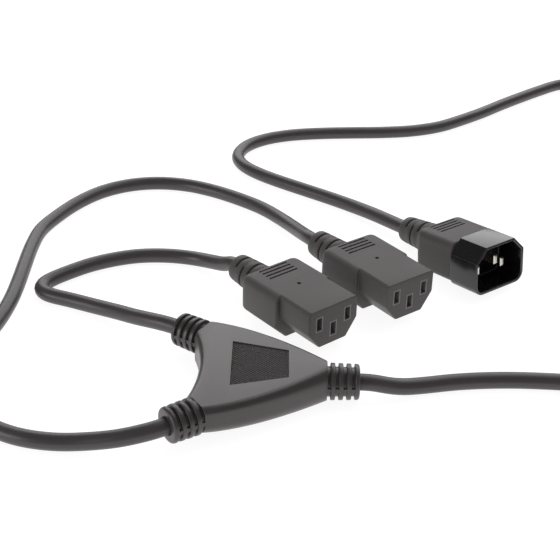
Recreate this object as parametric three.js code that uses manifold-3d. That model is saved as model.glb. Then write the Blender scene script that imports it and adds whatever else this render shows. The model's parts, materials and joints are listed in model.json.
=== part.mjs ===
// A mains splitter lead: one appliance plug on a trunk cord, a moulded Y body, and two appliance sockets
// on branch cords. Millimetres, +Z up. The origin is under the middle of the Y body, on the surface that it
// lies on, and +X runs along the Y body towards the trunk cord.

import * as THREE from 'three';
import { mergeVertices } from 'three/addons/utils/BufferGeometryUtils.js';
import Module from 'manifold-3d';

const wasm = await Module();
wasm.setup();

// Driving dimensions

const CORD = { diameter: 6.2, sides: 8, step: 18 };
const FIT = { bore: 0.25, carrier: 0.3, window: 0.1, contact: 0.3, pin: 0.08, end: 0.3 };

const SPLITTER = {
  height: 14,
  wideHalf: 28.9, // half width at the shoulders
  shoulderX: -18.2,
  bulgeX: -0.8, // where the side's two end slopes meet
  bulgeHalf: 24.4,
  endHalf: 6.5,
  endX: 22.95,
  edgeWide: 2.8, // rounding of the long edges at the wide end
  edgeEnd: 6.2, // and at the trunk end
  lowAcross: 13, // the underside's rounding at the wide end, across
  lowUp: 7.5, // and up
  branchRootX: -21.7,
  branchRootY: 24,
  branchAngle: 33.7,
  branchHeight: 8.5, // height of the branch boots' axes
  trunkHeight: 6.7, // and of the trunk boot's
  crotchX: -22.3,
  crotchRadius: 62,
  crotchEdge: 2.7,
};

const BRANCH_BOOT = {
  length: 11.5,
  root: 6.7,
  tip: 6.4,
  groove: 1.25,
  depth: 1.3,
  firstGroove: 0,
  pitch: 2.85,
  grooves: 4,
  rim: 0.9,
  mouth: 0.4,
  web: 1.5,
};
const CONNECTOR_BOOT = {
  length: 19.5,
  root: 7.1,
  tip: 5.7,
  groove: 1.1,
  depth: 1.1,
  firstGroove: 2.6,
  pitch: 4,
  grooves: 4,
  rim: 0.8,
  mouth: 0.4,
  web: 1.8,
};

const SPLICE = {
  height: 8,
  middle: 7.7, // height of its middle
  front: 17,
  inward: 7, // from each branch boot's root to the carrier's slanted face
  faceHalf: 4.6,
  slot: 4,
  slotLength: 13,
  slotDepth: 5.4,
  spacing: 7.4,
};
const CRIMP = { length: 11, radius: 1.7, bore: 1.1 };

const SOCKET = {
  noseLength: 17,
  noseHalf: 12,
  noseLow: 3,
  top: 19.5,
  noseEdge: 1.5,
  chamferAcross: 5.4,
  chamferUp: 7,
  gripRear: -39,
  gripHalf: 14,
  gripEdge: 3,
  gripRearHalf: 12.6,
  gripRearTop: 18.3,
  gripRearRound: 3,
  bootHeight: 9.75,
  phaseBelowTop: 6.2, // middle of the two outer slots
  earthBelowPhase: 4,
  phaseOffset: 7,
  slotWide: 2.5,
  slotHigh: 5.4,
  border: 0.5, // light frame of each slot, moulded with the carrier
};
const CARRIER = { rear: -28, front: -2, half: 10.1, low: 5.3, high: 17.1, chamfer: 4.6, frontWall: 1.4 };
const CONTACT = { wide: 3.3, high: 5.8, wall: 0.45, length: 19 };
const GRIP_GROOVE = { count: 4, pitch: 2.2, fromRear: 2.6, half: 7, wide: 0.9, depth: 0.6 };
const PIN_HOLE = { x: -20.4, radius: 0.8, depth: 1.4 }; // left by the mould's core pin

const PLUG = {
  shroudLength: 15.2,
  half: 13.7,
  high: 20.4,
  chamferAcross: 5.8,
  chamferUp: 5.9,
  lowRadius: 4.4,
  wall: 1.25,
  cavity: 13,
  baseRear: -24,
  baseHalf: 9.6,
  baseLow: 4.2,
  baseHigh: 16.4,
  gripRear: -37,
  gripHalf: 12.6,
  gripLow: 0.9,
  gripTop: 18.9,
  gripEdge: 3,
  gripRearHalf: 11.4,
  gripRearTop: 17.8,
  bootHeight: 9.75,
  earthHeight: 12.2,
  phaseBelowEarth: 4,
  phaseOffset: 7,
  pinWide: 2,
  pinHigh: 4,
  pinTip: 0.5,
  earthRecess: 2.4,
  phaseRecess: 5.4,
  pinRear: -27,
};

// Where the connectors lie on the surface: front face's middle, heading in degrees, and nose-up angle.
const SOCKET_A = { x: 26.2, y: 31.7, heading: -50.5 };
const SOCKET_B = { x: 56.9, y: 52.7, heading: -53.1 };
const PLUG_POSE = { x: 96.5, y: 75, heading: -53.4, noseUp: 6.5 };

// The coil of the trunk cord's spare length, beyond the right of the Y body.
const COIL = { x: 166, y: 47, inner: 34, pitch: 6.4, layers: 2 };

const radians = THREE.MathUtils.degToRad;
const cordRadius = CORD.diameter / 2;
const boreRadius = cordRadius + FIT.bore;

const finish = (color, roughness, metalness = 0) => () =>
  new THREE.MeshStandardMaterial({ color, roughness, metalness });
const OVERMOULD = finish('#46454a', 0.55);
const GLOSSY_SHROUD = finish('#101013', 0.15);
const INNER_PLASTIC = finish('#57565a', 0.5);
const CORD_JACKET = finish('#2f2f33', 0.5);
const BRASS = finish('#b8934a', 0.35, 1);
const NICKEL = finish('#c9c8c4', 0.28, 1);
const COPPER = finish('#b87346', 0.4, 1);

// Solids

function toSolid(geometry) {
  const bare = geometry.clone();
  bare.deleteAttribute('normal');
  bare.deleteAttribute('uv');
  const merged = mergeVertices(bare, 1e-4);
  return new wasm.Manifold(
    new wasm.Mesh({
      numProp: 3,
      vertProperties: new Float32Array(merged.attributes.position.array),
      triVerts: new Uint32Array(merged.index.array),
    }),
  );
}

function toGeometry(solid) {
  const mesh = solid.getMesh();
  const geometry = new THREE.BufferGeometry();
  geometry.setAttribute('position', new THREE.BufferAttribute(new Float32Array(mesh.vertProperties), 3));
  geometry.setIndex(new THREE.BufferAttribute(new Uint32Array(mesh.triVerts), 1));
  geometry.computeVertexNormals();
  return geometry;
}

const fuse = (...geometries) => geometries.map(toSolid).reduce((sum, solid) => sum.add(solid));
const cut = (solid, ...geometries) =>
  geometries.map(toSolid).reduce((rest, tool) => rest.subtract(tool), solid);

function box(x0, x1, y0, y1, z0, z1) {
  const geometry = new THREE.BoxGeometry(x1 - x0, y1 - y0, z1 - z0);
  return geometry.translate((x0 + x1) / 2, (y0 + y1) / 2, (z0 + z1) / 2);
}

// A solid of revolution about +X. Its profile points are [x, radius], and x falls along the outer surface.
function turned(profile, segments = 20) {
  const points = profile.map(([x, radius]) => new THREE.Vector2(radius, x)).reverse();
  return new THREE.LatheGeometry(points, segments).rotateZ(-Math.PI / 2);
}

// A closed solid through rings of equal point counts, each ring a list of Vector3.
function loft(rings) {
  const count = rings[0].length;
  const position = [];
  const index = [];
  for (const ring of rings) {
    for (const point of ring) position.push(point.x, point.y, point.z);
  }
  for (let r = 0; r + 1 < rings.length; r += 1) {
    for (let i = 0; i < count; i += 1) {
      const a = r * count + i;
      const b = r * count + ((i + 1) % count);
      index.push(a, a + count, b, b, a + count, b + count);
    }
  }
  const last = (rings.length - 1) * count;
  for (let i = 1; i + 1 < count; i += 1) {
    index.push(0, i, i + 1);
    index.push(last, last + i + 1, last + i);
  }
  const geometry = new THREE.BufferGeometry();
  geometry.setAttribute('position', new THREE.Float32BufferAttribute(position, 3));
  geometry.setIndex(index);
  return geometry;
}

// One corner's points from angle a to b about (y, z).
function corner(y, z, radius, a, b, steps, up = radius) {
  return Array.from({ length: steps + 1 }, (_, i) => {
    const angle = a + ((b - a) * i) / steps;
    return [y + radius * Math.cos(angle), z + up * Math.sin(angle)];
  });
}

// A closed section across X, listed from the lower right round to the lower left.
// The low corners are chamfers, or arcs where lowRadius is given, lowUp high.
function section(
  x, { half, low, high, edge, chamferAcross = 0, chamferUp = 0, lowRadius = 0, lowUp = lowRadius, steps = 4 },
) {
  const right = lowRadius
    ? corner(half - lowRadius, low + lowUp, lowRadius, -Math.PI / 2, 0, steps, lowUp)
    : [[half - chamferAcross, low], [half, low + chamferUp]];
  right.push(...corner(half - edge, high - edge, edge, 0, Math.PI / 2, steps));
  const left = right.map(([y, z]) => [-y, z]).reverse();
  return [...right, ...left].map(([y, z]) => new THREE.Vector3(x, y, z)).reverse();
}

// A strain relief along -X from its root at x = 0: rings with grooves between them and a wider last collar.
function boot({ length, root, tip, groove, depth, firstGroove, pitch, grooves, rim }, overlap = 1.5) {
  const radiusAt = (s) => root + ((tip - root) * s) / length;
  const profile = [[overlap, 0], [overlap, root - depth]];
  if (firstGroove > 0) profile.push([0, root - depth], [0, root]);
  for (let i = 0; i < grooves; i += 1) {
    const start = firstGroove + i * pitch;
    const end = start + groove;
    if (start > 0) profile.push([-start, radiusAt(start)], [-start, radiusAt(start) - depth]);
    profile.push([-end, radiusAt(end) - depth], [-end, radiusAt(end)]);
  }
  const bevel = rim * 0.3;
  profile.push([-length + rim, tip], [-length + bevel, tip - bevel], [-length, tip - rim], [-length, 0]);
  return turned(profile);
}

// The rib that bridges the grooves along the mould's parting line, on both sides.
function bootWeb({ length, root, tip, rim, web }) {
  const reach = Math.min(root, tip) - 0.35;
  return box(-length + rim + 0.5, 1.2, -reach, reach, -web / 2, web / 2);
}

// The cord's bore, with a small countersink at the mouth.
function bootBore({ length, mouth }, depth) {
  return turned([
    [depth, 0],
    [depth, boreRadius],
    [-length + mouth, boreRadius],
    [-length - mouth, boreRadius + 2 * mouth],
    [-length - mouth, 0],
  ]);
}

const root = new THREE.Group();

function piece(parent, name, geometry, material) {
  const mesh = new THREE.Mesh(geometry, material());
  mesh.name = name;
  parent.add(mesh);
  return mesh;
}

// Y body

const branchTurn = radians(SPLITTER.branchAngle);
// The boots point along their own -X, so each is turned to send that way out of the body.
const BOOT_PLACES = [
  { x: SPLITTER.branchRootX, y: SPLITTER.branchRootY, z: SPLITTER.branchHeight, angle: -branchTurn },
  { x: SPLITTER.branchRootX, y: -SPLITTER.branchRootY, z: SPLITTER.branchHeight, angle: branchTurn },
  { x: SPLITTER.endX, y: 0, z: SPLITTER.trunkHeight, angle: Math.PI },
];

function splitterRings() {
  const side = new THREE.QuadraticBezierCurve(
    new THREE.Vector2(SPLITTER.shoulderX, SPLITTER.wideHalf),
    new THREE.Vector2(SPLITTER.bulgeX, SPLITTER.bulgeHalf),
    new THREE.Vector2(SPLITTER.endX, SPLITTER.endHalf),
  );
  const stations = side.getPoints(8);
  stations.unshift(new THREE.Vector2(SPLITTER.crotchX - 6, SPLITTER.wideHalf + 1.4));
  return stations.map(({ x, y }) => {
    const along = Math.max(0, (x - SPLITTER.shoulderX) / (SPLITTER.endX - SPLITTER.shoulderX));
    const edge = SPLITTER.edgeWide + (SPLITTER.edgeEnd - SPLITTER.edgeWide) * along ** 2.5;
    const lowRadius = SPLITTER.lowAcross + (SPLITTER.edgeEnd - SPLITTER.lowAcross) * along ** 0.75;
    const lowUp = SPLITTER.lowUp + (SPLITTER.edgeEnd - SPLITTER.lowUp) * along;
    return section(x, { half: y, low: 0, high: SPLITTER.height, edge, lowRadius, lowUp });
  });
}

// The saddle between the branches: a wide drum whose flared rims leave rounded edges on the body.
function crotchCutter() {
  const { crotchRadius: r, crotchEdge: e, height: h } = SPLITTER;
  const profile = [new THREE.Vector2(0, -1), new THREE.Vector2(r + e, -1)];
  const steps = 4;
  for (let i = 0; i <= steps; i += 1) {
    const a = (Math.PI / 2) * (i / steps);
    profile.push(new THREE.Vector2(r + e - e * Math.sin(a), e - e * Math.cos(a)));
  }
  for (let i = 0; i <= steps; i += 1) {
    const a = (Math.PI / 2) * (1 - i / steps);
    profile.push(new THREE.Vector2(r + e - e * Math.sin(a), h - e + e * Math.cos(a)));
  }
  profile.push(new THREE.Vector2(r + e, h + 1), new THREE.Vector2(0, h + 1));
  return new THREE.LatheGeometry(profile, 96).rotateX(Math.PI / 2).translate(SPLITTER.crotchX - r, 0, 0);
}

// Moves every edge of a closed counterclockwise outline outwards by one distance.
function offsetOutline(points, by) {
  const count = points.length;
  const normals = points.map((p, i) => {
    const q = points[(i + 1) % count];
    return new THREE.Vector2(q.y - p.y, p.x - q.x).normalize();
  });
  return points.map((p, i) => {
    const n = normals[(i + count - 1) % count];
    const m = normals[i];
    return p.clone().addScaledVector(n.clone().add(m), by / (1 + n.dot(m)));
  });
}

// Outline of the splice carrier, grown by a clearance. Its two slanted faces take the branch cords.
function carrierOutline(grow) {
  const direction = new THREE.Vector2(Math.cos(branchTurn), -Math.sin(branchTurn));
  const across = new THREE.Vector2(-direction.y, direction.x).multiplyScalar(SPLICE.faceHalf);
  const bootRoot = new THREE.Vector2(SPLITTER.branchRootX, SPLITTER.branchRootY);
  const face = bootRoot.addScaledVector(direction, SPLICE.inward);
  const front = new THREE.Vector2(SPLICE.front, SPLICE.faceHalf);
  const upper = [front, face.clone().add(across), face.clone().sub(across)];
  const lower = upper.map(({ x, y }) => new THREE.Vector2(x, -y)).reverse();
  return new THREE.Shape(offsetOutline([...upper, ...lower], grow));
}

function carrierBlock(grow) {
  const height = SPLICE.height + 2 * grow;
  const geometry = new THREE.ExtrudeGeometry(carrierOutline(grow), { depth: height, bevelEnabled: false });
  return geometry.translate(0, 0, SPLICE.middle - height / 2);
}

function splitterBody() {
  const atBoots = (make, places = BOOT_PLACES) =>
    places.map(({ x, y, z, angle }) => make().rotateZ(angle).translate(x, y, z));
  const boots = atBoots(() => boot(BRANCH_BOOT));
  const webs = atBoots(() => bootWeb(BRANCH_BOOT));
  const bores = atBoots(() => bootBore(BRANCH_BOOT, SPLICE.inward + 2));
  const reach = 20;
  const branchPlaces = BOOT_PLACES.filter(({ y }) => y !== 0);
  const branchFaces = atBoots(() => box(-reach, 0, -reach, reach, -reach, reach), branchPlaces);
  const shell = cut(toSolid(loft(splitterRings())), crotchCutter(), ...branchFaces);
  const whole = [...boots, ...webs].map(toSolid).reduce((sum, solid) => sum.add(solid), shell);
  return toGeometry(cut(whole, ...bores, carrierBlock(FIT.carrier)));
}

const spliceRows = [-SPLICE.spacing, 0, SPLICE.spacing];
const crimpHeight = SPLICE.middle + SPLICE.height / 2 - SPLICE.slotDepth + CRIMP.radius + FIT.contact;

function spliceCarrier() {
  const slots = spliceRows.map((y) => box(
    -SPLICE.slotLength / 2, SPLICE.slotLength / 2, y - SPLICE.slot / 2, y + SPLICE.slot / 2,
    SPLICE.middle + SPLICE.height / 2 - SPLICE.slotDepth, SPLITTER.height,
  ));
  return toGeometry(cut(toSolid(carrierBlock(0)), ...slots));
}

function crimp() {
  const { length, radius, bore } = CRIMP;
  const half = length / 2;
  return turned([[-half, bore], [half, bore], [half, radius], [-half, radius], [-half, bore]], 12);
}

piece(root, 'splitter_body', splitterBody(), OVERMOULD);
piece(root, 'splice_carrier', spliceCarrier(), INNER_PLASTIC);
['splice_crimp_line', 'splice_crimp_earth', 'splice_crimp_neutral'].forEach((name, i) => {
  piece(root, name, crimp().translate(0, spliceRows[i], crimpHeight), COPPER);
});

// Sockets

const phaseHeight = SOCKET.top - SOCKET.phaseBelowTop;
const SLOTS = [
  { name: 'line', y: -SOCKET.phaseOffset, z: phaseHeight },
  { name: 'earth', y: 0, z: phaseHeight - SOCKET.earthBelowPhase },
  { name: 'neutral', y: SOCKET.phaseOffset, z: phaseHeight },
];

const slotBox = ({ y, z }, wide, high, x0, x1) =>
  box(x0, x1, y - wide / 2, y + wide / 2, z - high / 2, z + high / 2);

function gripRings({ rear, front, half, rearHalf, low, top, rearTop, edge, round, chamfer }) {
  const shape = (x, share) => section(x, {
    half: rearHalf + (half - rearHalf) * share,
    low: low + (1 - share),
    high: rearTop + (top - rearTop) * share,
    edge,
    chamferAcross: chamfer,
    chamferUp: chamfer,
  });
  return [shape(front, 1), shape(rear + round, 1), shape(rear + round * 0.35, 0.7), shape(rear, 0)].reverse();
}

function gripGrooves(rear, top) {
  const { count, pitch, fromRear, half, wide, depth } = GRIP_GROOVE;
  return Array.from({ length: count }, (_, i) => {
    const x = rear + fromRear + i * pitch;
    return box(x - wide / 2, x + wide / 2, -half, half, top - depth, top + 1);
  });
}

function carrierRings(grow) {
  const shape = (x) => section(x, {
    half: CARRIER.half + grow,
    low: CARRIER.low - grow,
    high: CARRIER.high + grow,
    edge: 1,
    chamferAcross: CARRIER.chamfer,
    chamferUp: CARRIER.chamfer,
    steps: 1,
  });
  return [shape(CARRIER.rear - grow), shape(CARRIER.front + grow)];
}

const framed = (grow) => [SOCKET.slotWide, SOCKET.slotHigh].map((size) => size + 2 * (SOCKET.border + grow));

function socketBody() {
  const nose = loft([-SOCKET.noseLength - 1, 0].map((x) => section(x, {
    half: SOCKET.noseHalf,
    low: SOCKET.noseLow,
    high: SOCKET.top,
    edge: SOCKET.noseEdge,
    chamferAcross: SOCKET.chamferAcross,
    chamferUp: SOCKET.chamferUp,
  })));
  const grip = loft(gripRings({
    rear: SOCKET.gripRear,
    front: -SOCKET.noseLength,
    half: SOCKET.gripHalf,
    rearHalf: SOCKET.gripRearHalf,
    low: 0,
    top: SOCKET.top,
    rearTop: SOCKET.gripRearTop,
    edge: SOCKET.gripEdge,
    round: SOCKET.gripRearRound,
    chamfer: SOCKET.chamferAcross,
  }));
  const atRear = (geometry) => geometry.translate(SOCKET.gripRear, 0, SOCKET.bootHeight);
  const bootParts = [boot(CONNECTOR_BOOT), bootWeb(CONNECTOR_BOOT)].map(atRear);
  const bore = atRear(bootBore(CONNECTOR_BOOT, CARRIER.rear - SOCKET.gripRear + 1));
  const windows = SLOTS.map((slot) => slotBox(slot, ...framed(FIT.window), CARRIER.front - 1, 1));
  const coreHole = new THREE.CylinderGeometry(PIN_HOLE.radius, PIN_HOLE.radius, 2 * PIN_HOLE.depth, 12)
    .rotateX(Math.PI / 2).translate(PIN_HOLE.x, 0, SOCKET.top);
  const solid = fuse(nose, grip, ...bootParts);
  const pocket = loft(carrierRings(FIT.carrier));
  const grooves = gripGrooves(SOCKET.gripRear, SOCKET.top);
  return toGeometry(cut(solid, bore, pocket, ...windows, ...grooves, coreHole));
}

function contactCarrier() {
  const chimneys = SLOTS.map((slot) => slotBox(slot, ...framed(0), CARRIER.front - 0.5, 0));
  const channelEnd = CARRIER.front - CARRIER.frontWall;
  const slots = SLOTS.map((slot) => slotBox(slot, SOCKET.slotWide, SOCKET.slotHigh, channelEnd - 1, 1));
  const [wide, high] = [CONTACT.wide, CONTACT.high].map((size) => size + 2 * FIT.contact);
  const channels = SLOTS.map((slot) => slotBox(slot, wide, high, CARRIER.rear - 1, channelEnd));
  return toGeometry(cut(fuse(loft(carrierRings(0)), ...chimneys), ...slots, ...channels));
}

function contactSleeve(slot) {
  const front = CARRIER.front - CARRIER.frontWall - FIT.contact;
  const rear = front - CONTACT.length;
  const [innerWide, innerHigh] = [CONTACT.wide, CONTACT.high].map((size) => size - 2 * CONTACT.wall);
  const outer = slotBox(slot, CONTACT.wide, CONTACT.high, rear, front);
  return toGeometry(cut(toSolid(outer), slotBox(slot, innerWide, innerHigh, rear - 1, front + 1)));
}

function addSocket(prefix, { x, y, heading }) {
  const socket = new THREE.Group();
  socket.position.set(x, y, 0);
  socket.rotation.z = radians(heading);
  root.add(socket);
  piece(socket, `${prefix}_body`, socketBody(), OVERMOULD);
  piece(socket, `${prefix}_contact_carrier`, contactCarrier(), INNER_PLASTIC);
  for (const slot of SLOTS) piece(socket, `${prefix}_contact_${slot.name}`, contactSleeve(slot), BRASS);
}

addSocket('socket_a', SOCKET_A);
addSocket('socket_b', SOCKET_B);

// Plug

const pinHeight = PLUG.earthHeight - PLUG.phaseBelowEarth;
const PINS = [
  { name: 'line', y: -PLUG.phaseOffset, z: pinHeight, recess: PLUG.phaseRecess },
  { name: 'earth', y: 0, z: PLUG.earthHeight, recess: PLUG.earthRecess },
  { name: 'neutral', y: PLUG.phaseOffset, z: pinHeight, recess: PLUG.phaseRecess },
];

// Eight-sided outline of the shroud, shrunk by an amount: chamfers at the top, rounded corners below.
function shroudSection(x, shrink) {
  const half = PLUG.half - shrink;
  const low = shrink;
  const high = PLUG.high - shrink;
  const radius = PLUG.lowRadius - shrink;
  const slant = shrink * 0.41;
  const right = [
    ...corner(half - radius, low + radius, radius, -Math.PI / 2, 0, 4),
    [half, PLUG.high - PLUG.chamferUp - slant],
    [PLUG.half - PLUG.chamferAcross - slant, high],
  ];
  const left = right.map(([y, z]) => [-y, z]).reverse();
  return [...right, ...left].map(([y, z]) => new THREE.Vector3(x, y, z)).reverse();
}

const baseBox = (grow) => box(
  PLUG.baseRear - grow, -PLUG.shroudLength + 0.5, -PLUG.baseHalf - grow, PLUG.baseHalf + grow,
  PLUG.baseLow - grow, PLUG.baseHigh + grow,
);

function plugShroud() {
  const outer = loft([shroudSection(-PLUG.shroudLength, 0), shroudSection(-0.4, 0), shroudSection(0, 0.3)]);
  const cavity = loft([shroudSection(-PLUG.cavity, PLUG.wall), shroudSection(1, PLUG.wall)]);
  const pinHoles = PINS.map((pin) => slotBox(
    pin, PLUG.pinWide + 2 * FIT.pin, PLUG.pinHigh + 2 * FIT.pin, PLUG.baseRear - 1, -PLUG.cavity + 1,
  ));
  return toGeometry(cut(fuse(outer, baseBox(0)), cavity, ...pinHoles));
}

function plugGrip() {
  const front = -PLUG.shroudLength - FIT.window;
  const grip = loft(gripRings({
    rear: PLUG.gripRear,
    front,
    half: PLUG.gripHalf,
    rearHalf: PLUG.gripRearHalf,
    low: PLUG.gripLow,
    top: PLUG.gripTop,
    rearTop: PLUG.gripRearTop,
    edge: PLUG.gripEdge,
    round: SOCKET.gripRearRound,
    chamfer: 3,
  }));
  const atRear = (geometry) => geometry.translate(PLUG.gripRear, 0, PLUG.bootHeight);
  const bootParts = [boot(CONNECTOR_BOOT), bootWeb(CONNECTOR_BOOT)].map(atRear);
  const bore = atRear(bootBore(CONNECTOR_BOOT, PLUG.pinRear - PLUG.gripRear));
  const tailHalf = PLUG.phaseOffset + PLUG.pinWide;
  const { pinRear, baseRear, baseLow, baseHigh } = PLUG;
  const tails = box(pinRear - 1, baseRear, -tailHalf, tailHalf, baseLow + 1, baseHigh - 1);
  const solid = fuse(grip, ...bootParts);
  const grooves = gripGrooves(PLUG.gripRear, PLUG.gripTop);
  return toGeometry(cut(solid, bore, tails, baseBox(FIT.window), ...grooves));
}

function plugPin({ y, z, recess }) {
  const halfWide = PLUG.pinWide / 2;
  const halfHigh = PLUG.pinHigh / 2;
  const ring = (x, shrink) => [[-1, -1], [1, -1], [1, 1], [-1, 1]].map(([sy, sz]) =>
    new THREE.Vector3(x, y + sy * (halfWide - shrink), z + sz * (halfHigh - shrink))).reverse();
  return loft([ring(PLUG.pinRear, 0), ring(-recess - PLUG.pinTip, 0), ring(-recess, PLUG.pinTip)]);
}

const plug = new THREE.Group();
plug.rotation.set(0, -radians(PLUG_POSE.noseUp), radians(PLUG_POSE.heading), 'ZYX');
// The lower rear edge of the grip rests on the surface, and the nose stands a little off it.
const tail = -PLUG.gripRear - SOCKET.gripRearRound;
const noseUp = radians(PLUG_POSE.noseUp);
const plugLift = tail * Math.sin(noseUp) - PLUG.gripLow * Math.cos(noseUp);
plug.position.set(PLUG_POSE.x, PLUG_POSE.y, plugLift);
root.add(plug);
piece(plug, 'plug_grip', plugGrip(), OVERMOULD);
piece(plug, 'plug_shroud', plugShroud(), GLOSSY_SHROUD);
for (const pin of PINS) piece(plug, `plug_pin_${pin.name}`, plugPin(pin), NICKEL);

// Cords

const floorZ = cordRadius;

// A point on a connector's own axis, in the part's frame.
function onAxis({ x, y, heading, noseUp = 0 }, along, height, lift = 0) {
  const flat = along * Math.cos(radians(noseUp)) - height * Math.sin(radians(noseUp));
  return [
    x + flat * Math.cos(radians(heading)),
    y + flat * Math.sin(radians(heading)),
    lift + along * Math.sin(radians(noseUp)) + height * Math.cos(radians(noseUp)),
  ];
}

function atBranch(side, s) {
  return [
    SPLITTER.branchRootX - s * Math.cos(branchTurn),
    side * (SPLITTER.branchRootY + s * Math.sin(branchTurn)),
    SPLITTER.branchHeight,
  ];
}

const inBranch = FIT.end - SPLICE.inward;
const socketMouth = SOCKET.gripRear - CONNECTOR_BOOT.length;
const intoSocket = [socketMouth - 5, socketMouth, SOCKET.gripRear, CARRIER.rear - 2];
const plugMouth = PLUG.gripRear - CONNECTOR_BOOT.length;
const bootEnd = BRANCH_BOOT.length + 4; // the cords leave the Y body straight for a little way
const coilTop = COIL.layers * CORD.diameter;

const ROUTES = {
  cord_branch_a: [
    atBranch(1, inBranch), atBranch(1, 0), atBranch(1, BRANCH_BOOT.length), atBranch(1, bootEnd),
    [-42, 36.9, 7.7], [-49.4, 41.8, 6.3], [-57, 47.6, 4.8], [-65, 52.8, 3.6], [-73, 57, floorZ],
    [-80, 60, floorZ], [-85.6, 62, floorZ], [-89.6, 64.8, floorZ], [-91.2, 68.8, floorZ], [-89.6, 73, floorZ],
    [-85.4, 78, floorZ], [-80, 83, floorZ], [-74, 88, floorZ], [-66, 92.6, floorZ], [-56, 96.4, floorZ],
    [-46, 97.6, floorZ], [-36, 96.8, floorZ], [-28, 94, 3.5], [-21.5, 88.6, 5.2], [-16, 82.4, 7.8],
    ...intoSocket.map((along) => onAxis(SOCKET_A, along, SOCKET.bootHeight)),
  ],
  cord_branch_b: [
    atBranch(-1, inBranch), atBranch(-1, 0), atBranch(-1, BRANCH_BOOT.length), atBranch(-1, bootEnd),
    [-39.7, -34, 7.8], [-45.5, -34.7, 6.6], [-52, -34.4, 5.2], [-58.5, -33.6, 3.9], [-66, -33.1, floorZ],
    [-73, -32.5, floorZ], [-80, -30.9, floorZ], [-88, -27.4, floorZ], [-97, -20.4, floorZ], [-104, -10, floorZ], [-108, 3, floorZ],
    [-108, 17, floorZ], [-105.2, 31, floorZ], [-102.6, 44, floorZ], [-101.2, 58, floorZ], [-101, 72, floorZ],
    [-101.3, 88, floorZ], [-101.4, 104, floorZ], [-100.2, 119, floorZ], [-95, 133.5, floorZ],
    [-87.6, 148, floorZ], [-78, 160, floorZ], [-66, 167.6, floorZ], [-53, 170.4, floorZ],
    [-39, 168.6, floorZ], [-26, 162.8, floorZ], [-14, 154.8, floorZ], [-3, 145.6, floorZ],
    [5.4, 134.8, 3.5], [11, 124, 5], [15.6, 112, 7.6],
    ...intoSocket.map((along) => onAxis(SOCKET_B, along, SOCKET.bootHeight)),
  ],
  cord_trunk_front: [
    [SPLICE.front + FIT.end, 0, SPLITTER.trunkHeight], [SPLITTER.endX, 0, SPLITTER.trunkHeight],
    [SPLITTER.endX + BRANCH_BOOT.length, 0, SPLITTER.trunkHeight],
    [SPLITTER.endX + bootEnd, 0, SPLITTER.trunkHeight],
    [44, 0.3, 5.3], [50, 1.5, 3.9], [59, 3.9, 3.2], [69, 6.2, floorZ], [80, 7.6, floorZ], [92, 8.2, floorZ],
    [105, 7.8, floorZ], [118, 7, floorZ], [131, 6.5, floorZ], [143.6, 6.4, floorZ],
  ],
  cord_trunk_back: [
    [208.2, 67.8, 9.2], [208.8, 82, 6.6], [209, 98, 3.9], [209, 116, floorZ], [209, 140, floorZ],
    [209, 170, floorZ], [209, 200, floorZ],
    [209, 232, floorZ], [208.6, 262, floorZ], [206.4, 288, floorZ], [199, 309, floorZ], [186, 320.6, floorZ],
    [171, 318.6, floorZ], [157, 308, floorZ], [144, 296.4, floorZ], [131, 284.2, floorZ], [118, 271.2, floorZ],
    [105, 259.6, floorZ], [91, 248.8, floorZ], [76, 242.4, floorZ], [60, 239.4, floorZ], [43, 238, floorZ],
    [26, 236.2, floorZ], [10, 232.8, floorZ], [-3, 226.4, floorZ], [-12.4, 216.4, floorZ], [-16, 203.6, floorZ],
    [-12.4, 192.4, floorZ], [-4.4, 183, floorZ], [6, 174.4, floorZ], [18, 165.6, floorZ], [30, 156.8, floorZ],
    [41, 147.4, 3.4], [49.6, 137.4, 4.5],
    ...[plugMouth - 6, plugMouth, PLUG.gripRear, PLUG.pinRear - 3].map(
      (along) => onAxis(PLUG_POSE, along, PLUG.bootHeight, plugLift)),
  ],
};

function cordTube(points) {
  const path = new THREE.CatmullRomCurve3(points.map((p) => new THREE.Vector3(...p)), false, 'centripetal');
  const round = new THREE.Shape(
    Array.from({ length: CORD.sides }, (_, i) => {
      const angle = (2 * Math.PI * (i + 0.5)) / CORD.sides;
      return new THREE.Vector2(cordRadius * Math.cos(angle), cordRadius * Math.sin(angle));
    }),
  );
  return new THREE.ExtrudeGeometry(round, { steps: Math.ceil(path.getLength() / CORD.step), extrudePath: path });
}

function coilRing() {
  const inner = COIL.inner - cordRadius;
  const outer = COIL.inner + COIL.pitch + cordRadius;
  const edge = 2;
  const profile = [
    [inner, edge], [inner + edge, 0], [outer - edge, 0], [outer, edge], [outer, coilTop - edge],
    [outer - edge, coilTop], [inner + edge, coilTop], [inner, coilTop - edge], [inner, edge],
  ].map(([r, z]) => new THREE.Vector2(r, z));
  return new THREE.LatheGeometry(profile, 40).rotateX(Math.PI / 2).translate(COIL.x, COIL.y, 0);
}

for (const [name, points] of Object.entries(ROUTES)) piece(root, name, cordTube(points), CORD_JACKET);
piece(root, 'cord_trunk_coil', coilRing(), CORD_JACKET);

export default root;
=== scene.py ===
"""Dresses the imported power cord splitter: free cords, moulded connectors, the Y body and a plain pale studio.

Lengths are in millimetres in the row frame, or in a connector's own frame (x forwards, z up), until a piece
is placed. Blender's scene is in metres.
"""

from __future__ import annotations

import json
import logging
import math
from dataclasses import dataclass, replace
from enum import Enum
from typing import Iterable, Sequence

import bmesh
import bpy
from mathutils import Matrix, Vector

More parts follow.
